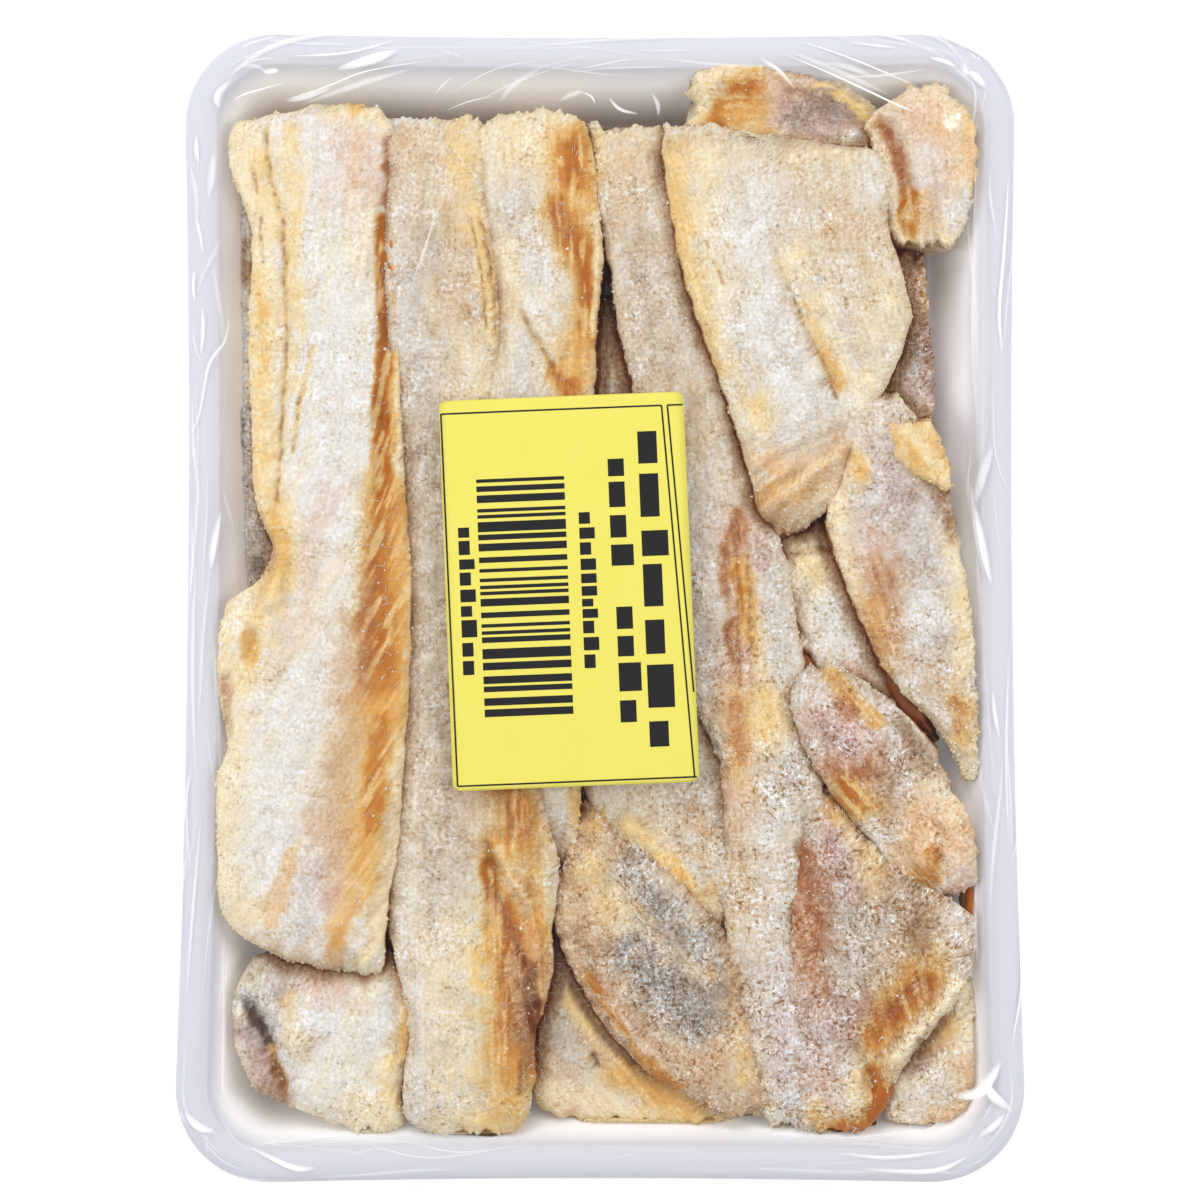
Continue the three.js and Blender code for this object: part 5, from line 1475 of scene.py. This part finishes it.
def build_salt_grains(tops, dress, material):
    """Loose salt: broken cubes, each turned at random and half sunk in the surface."""
    cube = np.array([(a, b, c) for a in (-1, 1) for b in (-1, 1) for c in (-1, 1)], float)
    sides = [(0, 1, 3, 2), (4, 6, 7, 5), (0, 4, 5, 1), (2, 3, 7, 6), (0, 2, 6, 4), (1, 5, 7, 3)]
    centres = tops[spots_with_salt(dress, SALT_GRAINS)]
    half = drawn_sizes(*GRAIN_HALF, SALT_GRAINS, 3)
    stretch = RANDOM.uniform(0.6, 1.3, (SALT_GRAINS, 1, 3))
    chips = cube + RANDOM.uniform(-0.25, 0.25, (SALT_GRAINS, *cube.shape))
    points = np.einsum("nkc,ncd->nkd", chips * stretch, turned_frames(SALT_GRAINS))
    points = points * half[:, None, None] + centres[:, None]
    faces = copies_of(sides, len(cube), SALT_GRAINS)
    piece = add_piece("salt_grains", points, faces, material)
    piece.data.shade_flat()


def build_salt_needles(tops, dress, material):
    """Salt threads: thin three-sided slivers that arch over the surface, bent at their middle, and longer on
    wet flesh."""
    chosen = spots_with_salt(dress, SALT_NEEDLES)
    centres = tops[chosen]
    wet = dress[chosen, WET]
    heading = RANDOM.uniform(0, 2 * math.pi, SALT_NEEDLES)
    bend = RANDOM.normal(0, 0.6, SALT_NEEDLES)
    length = RANDOM.uniform(*NEEDLE_LENGTH, SALT_NEEDLES) * (1 + 2.2 * wet)
    width = RANDOM.uniform(*NEEDLE_WIDTH, SALT_NEEDLES) * (1 + 0.6 * wet)
    place = np.linspace(-0.5, 0.5, 3)
    turn = heading[:, None] + bend[:, None] * np.abs(place) * 2
    spine = np.stack([np.cos(turn) * place * length[:, None], np.sin(turn) * place * length[:, None],
                      0.05 + np.minimum(0.125 * length[:, None], 0.15) * (1 - (2 * place) ** 2)], axis=-1)
    spine += centres[:, None]
    corner = np.arange(3) * 2 * math.pi / 3
    side = np.stack([-np.sin(heading), np.cos(heading), np.zeros(SALT_NEEDLES)], axis=-1)
    up = np.array([0, 0, 1.0])
    taper = np.array([0.35, 1, 0.35])
    offset = (np.cos(corner)[:, None] * side[:, None] + np.sin(corner)[:, None] * up) * width[:, None, None]
    points = spine[:, :, None] + offset[:, None] * taper[:, None, None]
    faces = copies_of(closed_faces(len(place), len(corner)), len(place) * len(corner), SALT_NEEDLES)
    add_piece("salt_needles", points, faces, material)


def build_jelly(material):
    """Drops of set brine: flattened round lumps with uneven outlines, lying in the gaps between pieces."""
    polar = np.linspace(0, math.pi, JELLY_RINGS)[:, None]
    angle = np.linspace(0, 2 * math.pi, JELLY_AROUND, endpoint=False)
    size = JELLY_RINGS * JELLY_AROUND
    points = []
    for k, ((x, y), top, (half_along, half_across), heading, _) in enumerate(JELLY):
        uneven = 1 + 0.2 * noise(np.cos(angle) * 1.6 + 3, np.sin(angle) * 1.6, seed=k)
        along = half_along * np.sin(polar) ** 0.7 * np.cos(angle) * uneven
        across = half_across * np.sin(polar) ** 0.7 * np.sin(angle) * uneven
        turn = math.radians(heading)
        lump = np.stack([
            x + along * math.cos(turn) - across * math.sin(turn),
            y + along * math.sin(turn) + across * math.cos(turn),
            top - JELLY_HALF_HEIGHT * (1 - np.cos(polar)) * np.ones(JELLY_AROUND)], axis=-1)
        lump[..., 2] += 0.7 * noise(lump[..., 0] / 1.6, lump[..., 1] / 1.6, 60 + k)
        points.append(clear_of_tray(lump)[:, ::-1])
    faces = copies_of(closed_faces(JELLY_RINGS, JELLY_AROUND), size, len(JELLY))
    piece = add_piece("brine_jelly", np.array(points), faces, material)
    add_attribute(piece, "clear", np.repeat([drop[-1] for drop in JELLY], size))


# The film

def film_height(tops):
    """A membrane over the fish: the rim holds its edge, and inside it hangs level with its neighbours' mean,
    but never under the highest point near it, and is then smoothed as taut film is. Returns its plan and its
    heights, as grids."""
    rows, columns = FILM_GRID
    share = np.linspace(-1, 1, columns)
    rim_x = HALF_WIDTH - RIM_CROWN_INSET
    rim_y = HALF_LENGTH - RIM_CROWN_INSET
    radius = CORNER_RADIUS - RIM_CROWN_INSET
    y = np.linspace(-rim_y, rim_y, rows)
    into_corner = np.clip(np.abs(y) - (rim_y - radius), 0, radius)
    half = rim_x - radius + np.sqrt(np.maximum(radius**2 - into_corner**2, 0))
    flat = np.stack([share * half[:, None], np.broadcast_to(y[:, None], (rows, columns))], axis=-1)
    plan = waisted(flat)

    cover = np.zeros((rows, columns))
    row = np.clip(np.round((tops[:, 1] + rim_y) / (2 * rim_y) * (rows - 1)).astype(int), 0, rows - 1)
    column = np.round((tops[:, 0] / half[row] + 1) / 2 * (columns - 1)).astype(int)
    column = np.clip(column, 0, columns - 1)
    np.maximum.at(cover, (row, column), tops[:, 2] + FILM_GAP)
    for _ in range(FILM_REACH):
        cover = raised_to_neighbours(cover)

    z = np.full((rows, columns), RIM_TOP + FILM_GAP)
    z[1:-1, 1:-1] += FILM_START
    for step in range(FILM_SETTLING + FILM_SMOOTHING):
        mean = (z[:-2, 1:-1] + z[2:, 1:-1] + z[1:-1, :-2] + z[1:-1, 2:]) / 4
        z[1:-1, 1:-1] = np.maximum(mean, cover[1:-1, 1:-1]) if step < FILM_SETTLING else mean
    return plan, z


def film_at(x, y, plan, z):
    """The film's height at places on it, between the four nearest points of its grid."""
    rows, columns = z.shape
    row = np.clip(np.interp(y, plan[:, columns // 2, 1], np.arange(rows)), 0, rows - 1.001)
    lower = row.astype(int)
    edge = plan[lower, -1, 0] + (row - lower) * (plan[lower + 1, -1, 0] - plan[lower, -1, 0])
    column = np.clip((x / edge + 1) / 2 * (columns - 1), 0, columns - 1.001)
    left = column.astype(int)
    t, s = row - lower, column - left
    return ((z[lower, left] * (1 - s) + z[lower, left + 1] * s) * (1 - t)
            + (z[lower + 1, left] * (1 - s) + z[lower + 1, left + 1] * s) * t)


def rim_places(way, inset):
    """Places round the pack: a share of the way round its plan, and how far in from the edge."""
    outer, inner = outline(0, *RIM_STEPS), outline(RIM_BAND, *RIM_STEPS)
    steps = np.linspace(0, 1, len(outer) + 1)
    ring = [np.interp(way % 1, steps, np.append(part, part[:1], axis=0)[:, axis])
            for part in (outer, inner) for axis in (0, 1)]
    x = ring[0] + (ring[2] - ring[0]) * inset / RIM_BAND
    y = ring[1] + (ring[3] - ring[1]) * inset / RIM_BAND
    return x, y


def build_folds(plan, z, material):
    """Stretch folds in the film: narrow arched ribbons, first the ones that stand out and then fine ones at
    random that run round the rim. Each is a low arch carried along a path, fading to nothing at its ends and
    sides."""
    share = np.linspace(0, 1, FOLD_GRID[0])
    seen_x, seen_y = [], []
    for _, _, path in FILM_STREAKS:
        curve = smooth_profile(path, STREAK_STEPS)
        along = np.linspace(0, 1, len(curve))
        seen_x.append(np.interp(share, along, curve[:, 0]))
        seen_y.append(np.interp(share, along, curve[:, 1]))
    each = (FOLDS_ROUND, 1)
    way = RANDOM.uniform(0, 1, each) + RANDOM.uniform(*FOLD_LENGTH, each) * share
    inset = RANDOM.uniform(*FOLD_INSET, each) + RANDOM.normal(0, FOLD_DRIFT, each) * share
    inset = np.clip(inset + 0.3 * np.sin(share * 5 + RANDOM.uniform(0, 6, each)), 0.3, 20)
    round_x, round_y = rim_places(way, inset)
    x = np.concatenate([seen_x, round_x])
    y = np.concatenate([seen_y, round_y])
    count = len(x)

    # The painted highlight of each fold: how milky white it is drawn, for the gloss it catches
    fold_sheen = np.concatenate([
        [streak[0] for streak in FILM_STREAKS], RANDOM.uniform(*FOLD_SHEEN, FOLDS_ROUND)])
    width = np.concatenate([
        [streak[1] for streak in FILM_STREAKS], RANDOM.uniform(*FOLD_WIDTH, FOLDS_ROUND)])
    fade = np.sin(np.pi * share) ** 0.6
    run = np.stack([np.gradient(x, axis=1), np.gradient(y, axis=1)], axis=-1)
    run /= np.linalg.norm(run, axis=-1, keepdims=True)
    place = np.linspace(-1, 1, FOLD_GRID[1])
    lopsided = 1 + RANDOM.uniform(-0.8, 0.8, (count, 1, 1)) * place
    offset = (width[:, None] * fade / 2)[..., None] * place
    px = x[..., None] - run[..., 1:] * offset
    py = y[..., None] + run[..., :1] * offset
    spot = np.stack([px, py], axis=-1)
    inward = np.min((HALF_WIDTH, HALF_LENGTH) * waist(spot) - np.abs(spot), axis=-1)
    shoulder = between(FILM_SHOULDER, inward)
    base = np.where(inward < RIM_CROWN_INSET, shoulder, film_at(px, py, plan, z))
    rise = np.minimum(0.14 * width, 0.12)[:, None] * fade
    pz = base + 0.05 + rise[..., None] * (1 - place**2) ** 2 * lopsided
    # painted highlight: milky white, strongest along the middle of a fold
    painted_sheen = (fold_sheen[:, None] * fade)[..., None] * np.sqrt(1 - place**2) * lopsided
    points = np.stack([px, py, pz], axis=-1)
    faces = copies_of(grid_faces(*FOLD_GRID, False), math.prod(FOLD_GRID), count)
    piece = add_piece("film_folds", points, faces, material)
    add_attribute(piece, "fold_sheen", np.clip(painted_sheen, 0, 1).ravel())


def build_film(tops, material):
    """The film over the food, slack in places, and the film round the tray, pulled under its base."""
    plan, z = film_height(tops)
    x, y = plan[..., 0], plan[..., 1]
    rows, columns = z.shape
    from_side = np.minimum(np.arange(columns), np.arange(columns)[::-1])
    from_end = np.minimum(np.arange(rows), np.arange(rows)[::-1])
    held = np.minimum(1, np.minimum(from_side[None], from_end[:, None]) / FILM_HELD)
    slack = 0.03 * layered(x / 5, y / 5, 70) + 0.1 * layered((x + y) / 9, (x - y) / 26, 71)
    points = np.dstack([plan, z + slack * held])[::FILM_STEP, ::FILM_STEP]
    faces = grid_faces(*points.shape[:2], False).tolist()
    add_piece("film_over_food", points, faces, material, ["film"])

    rings = []
    for k, (inset, height) in enumerate(smooth_profile(FILM_SECTION, SECTION_STEPS)):
        ring = outline(inset, *FILM_STEPS)
        way = np.linspace(0, FILM_CREASES, len(ring))
        crease = layered(way, np.full(len(ring), k / 11), 80) * min(1, k / 4)
        if inset < FILM_UNDER:
            ring = ring + 0.16 * crease[:, None] * ring / np.linalg.norm(ring, axis=1, keepdims=True)
        rings.append(at_height(ring, height))
    points = np.array(rings)[:, ::-1]
    faces = grid_faces(*points.shape[:2], True).tolist()
    add_piece("film_round_tray", points, faces, material)
    return plan, z


# The label

def label_points(u, v, z):
    """Points of the label's own plane as places on the pack."""
    x = LABEL_CENTRE[0] + u * math.cos(LABEL_TURN) - v * math.sin(LABEL_TURN)
    y = LABEL_CENTRE[1] + u * math.sin(LABEL_TURN) + v * math.cos(LABEL_TURN)
    return np.stack([x, y, z], axis=-1)


def label_height(u, v, level):
    """The label's upper face: almost flat, with its corners a little lower than its middle."""
    drop_u, drop_v = LABEL_DROP
    return level - drop_u * (2 * u / LABEL_SIZE[0]) ** 2 - drop_v * (2 * v / LABEL_SIZE[1]) ** 2


def build_label(level, paper, ink):
    """The label sheet with round corners, and its print: lines, bars and blocks as thin slabs of ink."""
    half_u, half_v = LABEL_SIZE[0] / 2, LABEL_SIZE[1] / 2
    v = np.linspace(-half_v, half_v, LABEL_GRID[0])[:, None]
    into = np.clip(np.abs(v) - (half_v - LABEL_CORNER), 0, LABEL_CORNER)
    reach = half_u - LABEL_CORNER + np.sqrt(LABEL_CORNER**2 - into**2)
    u = reach * np.concatenate([[-1], np.linspace(-1, 1, LABEL_GRID[1]), [1]])
    z = label_height(u, v, level)
    z[:, [0, -1]] -= LABEL_THICKNESS
    points = label_points(u, np.broadcast_to(v, u.shape), z)
    add_piece("label_sheet", points, closed_faces(*points.shape[:2]), paper, ["label"])

    strokes = [(start, end, LINE) for start, end in LABEL_LINES]
    widths = RANDOM.choice(BAR_WIDTHS, BARS)
    gaps = RANDOM.choice(BAR_GAPS, BARS)
    edges = np.cumsum(np.column_stack([gaps, widths]).ravel())
    edges = BARS_ALONG[0] + (edges - edges[0]) / (edges[-1] - edges[0]) * (BARS_ALONG[1] - BARS_ALONG[0])
    for top, bottom in edges.reshape(-1, 2):
        middle = (top + bottom) / 2
        strokes.append(((BARS_ACROSS[0], middle), (BARS_ACROSS[1], middle), abs(bottom - top)))
    for row_u, row_start, row_end, tall, count in BLOCK_ROWS:
        shares = np.cumsum(RANDOM.uniform(0.7, 1.3, count))
        stops = row_start + (row_end - row_start) * np.concatenate([[0], shares / shares[-1]])
        for a, b in zip(stops[:-1], stops[1:]):
            rise = tall * RANDOM.choice(BLOCK_HEIGHTS)
            middle = row_u - tall / 2 + rise / 2
            strokes.append(((middle, a), (middle, a + BLOCK_LENGTH * (b - a)), rise))
    spans = np.array([(*start, *end, wide) for start, end, wide in strokes])
    direction = spans[:, 2:4] - spans[:, :2]
    across = direction[:, ::-1] * (-1, 1) / np.linalg.norm(direction, axis=1, keepdims=True)
    share = np.linspace(0, 1, STROKE_POINTS)
    middle = spans[:, None, :2] + share[None, :, None] * direction[:, None]
    offset = across[:, None] * spans[:, None, 4:] / 2
    ring = np.stack([middle - offset, middle - offset, middle + offset, middle + offset], axis=2)
    lift = np.array([0.0, INK_HEIGHT, INK_HEIGHT, 0.0])
    points = label_points(ring[..., 0], ring[..., 1], label_height(ring[..., 0], ring[..., 1], level) + lift)
    slab = [face[::-1] for face in closed_faces(len(share), len(lift))]
    faces = copies_of(slab, len(share) * len(lift), len(spans))
    piece = add_piece("label_print", points, faces, ink)
    piece.data.shade_flat()


# Floor, lights and camera

def build_floor(material):
    """A large flat floor that isn't part of the pack."""
    half = FLOOR_HALF * MM
    corners = [(-half, -half, 0), (half, -half, 0), (half, half, 0), (-half, half, 0)]
    mesh = bpy.data.meshes.new("floor")
    mesh.from_pydata(corners, [], [(0, 1, 2, 3)])
    mesh.materials.append(material)
    floor = bpy.data.objects.new("floor", mesh)
    bpy.context.scene.collection.objects.link(floor)


def aim(thing, place, target):
    """Puts a light or the camera at a place, facing a target, both in millimetres."""
    thing.location = Vector(place) * MM
    thing.rotation_euler = (Vector(target) - Vector(place)).to_track_quat("-Z", "Y").to_euler()


def build_studio():
    """Even white light all round, a soft key from the top of the pack and two broad panels at its sides that
    show in no reflection, a small lamp that only makes wet places and the film glint, and the camera."""
    scene = bpy.context.scene
    world = bpy.data.worlds.new("studio")
    world.use_nodes = True
    world.node_tree.nodes["Background"].inputs["Color"].default_value = (1, 1, 1, 1)
    world.node_tree.nodes["Background"].inputs["Strength"].default_value = WORLD_LIGHT
    scene.world = world
    for name, place, size, watts, lights_surfaces in LIGHTS:
        data = bpy.data.lights.new(name, "AREA")
        data.shape = "RECTANGLE"
        data.size, data.size_y = size[0] * MM, size[1] * MM
        data.energy = watts
        light = bpy.data.objects.new(name, data)
        light.visible_diffuse = lights_surfaces
        light.visible_glossy = not lights_surfaces
        scene.collection.objects.link(light)
        aim(light, place, LIGHTS_AIM)
    scene.view_settings.view_transform = "Standard"

    data = bpy.data.cameras.new("camera")
    data.lens = CAMERA_LENS
    data.sensor_width = SENSOR_WIDTH
    data.clip_start = 0.01
    camera = bpy.data.objects.new("camera", data)
    scene.collection.objects.link(camera)
    scene.camera = camera
    distance = VIEW_WIDTH / SENSOR_WIDTH * CAMERA_LENS
    towards = Vector((0, -math.cos(CAMERA_ELEVATION), math.sin(CAMERA_ELEVATION)))
    aim(camera, Vector(CAMERA_AIM) + distance * towards, CAMERA_AIM)


# The pack, put together

flesh = salted_flesh()
salt = salt_crystal()
film = stretch_film()
build_tray(tray_foam())
tops, dress, from_edge = build_fish(flesh)
build_crumbs(tops, dress, from_edge, flesh)
build_salt_grains(tops, dress, salt)
build_salt_needles(tops, dress, salt)
build_jelly(brine_jelly())
film_plan, film_z = build_film(tops, film)
build_folds(film_plan, film_z, film_fold_sheen())
under_label = np.all(np.abs(film_plan - LABEL_CENTRE) < np.divide(LABEL_SIZE, 2), axis=-1)
build_label(film_z[under_label].max() + LABEL_LIFT, label_paper(), printing_ink())
build_floor(floor_paint())
build_studio()
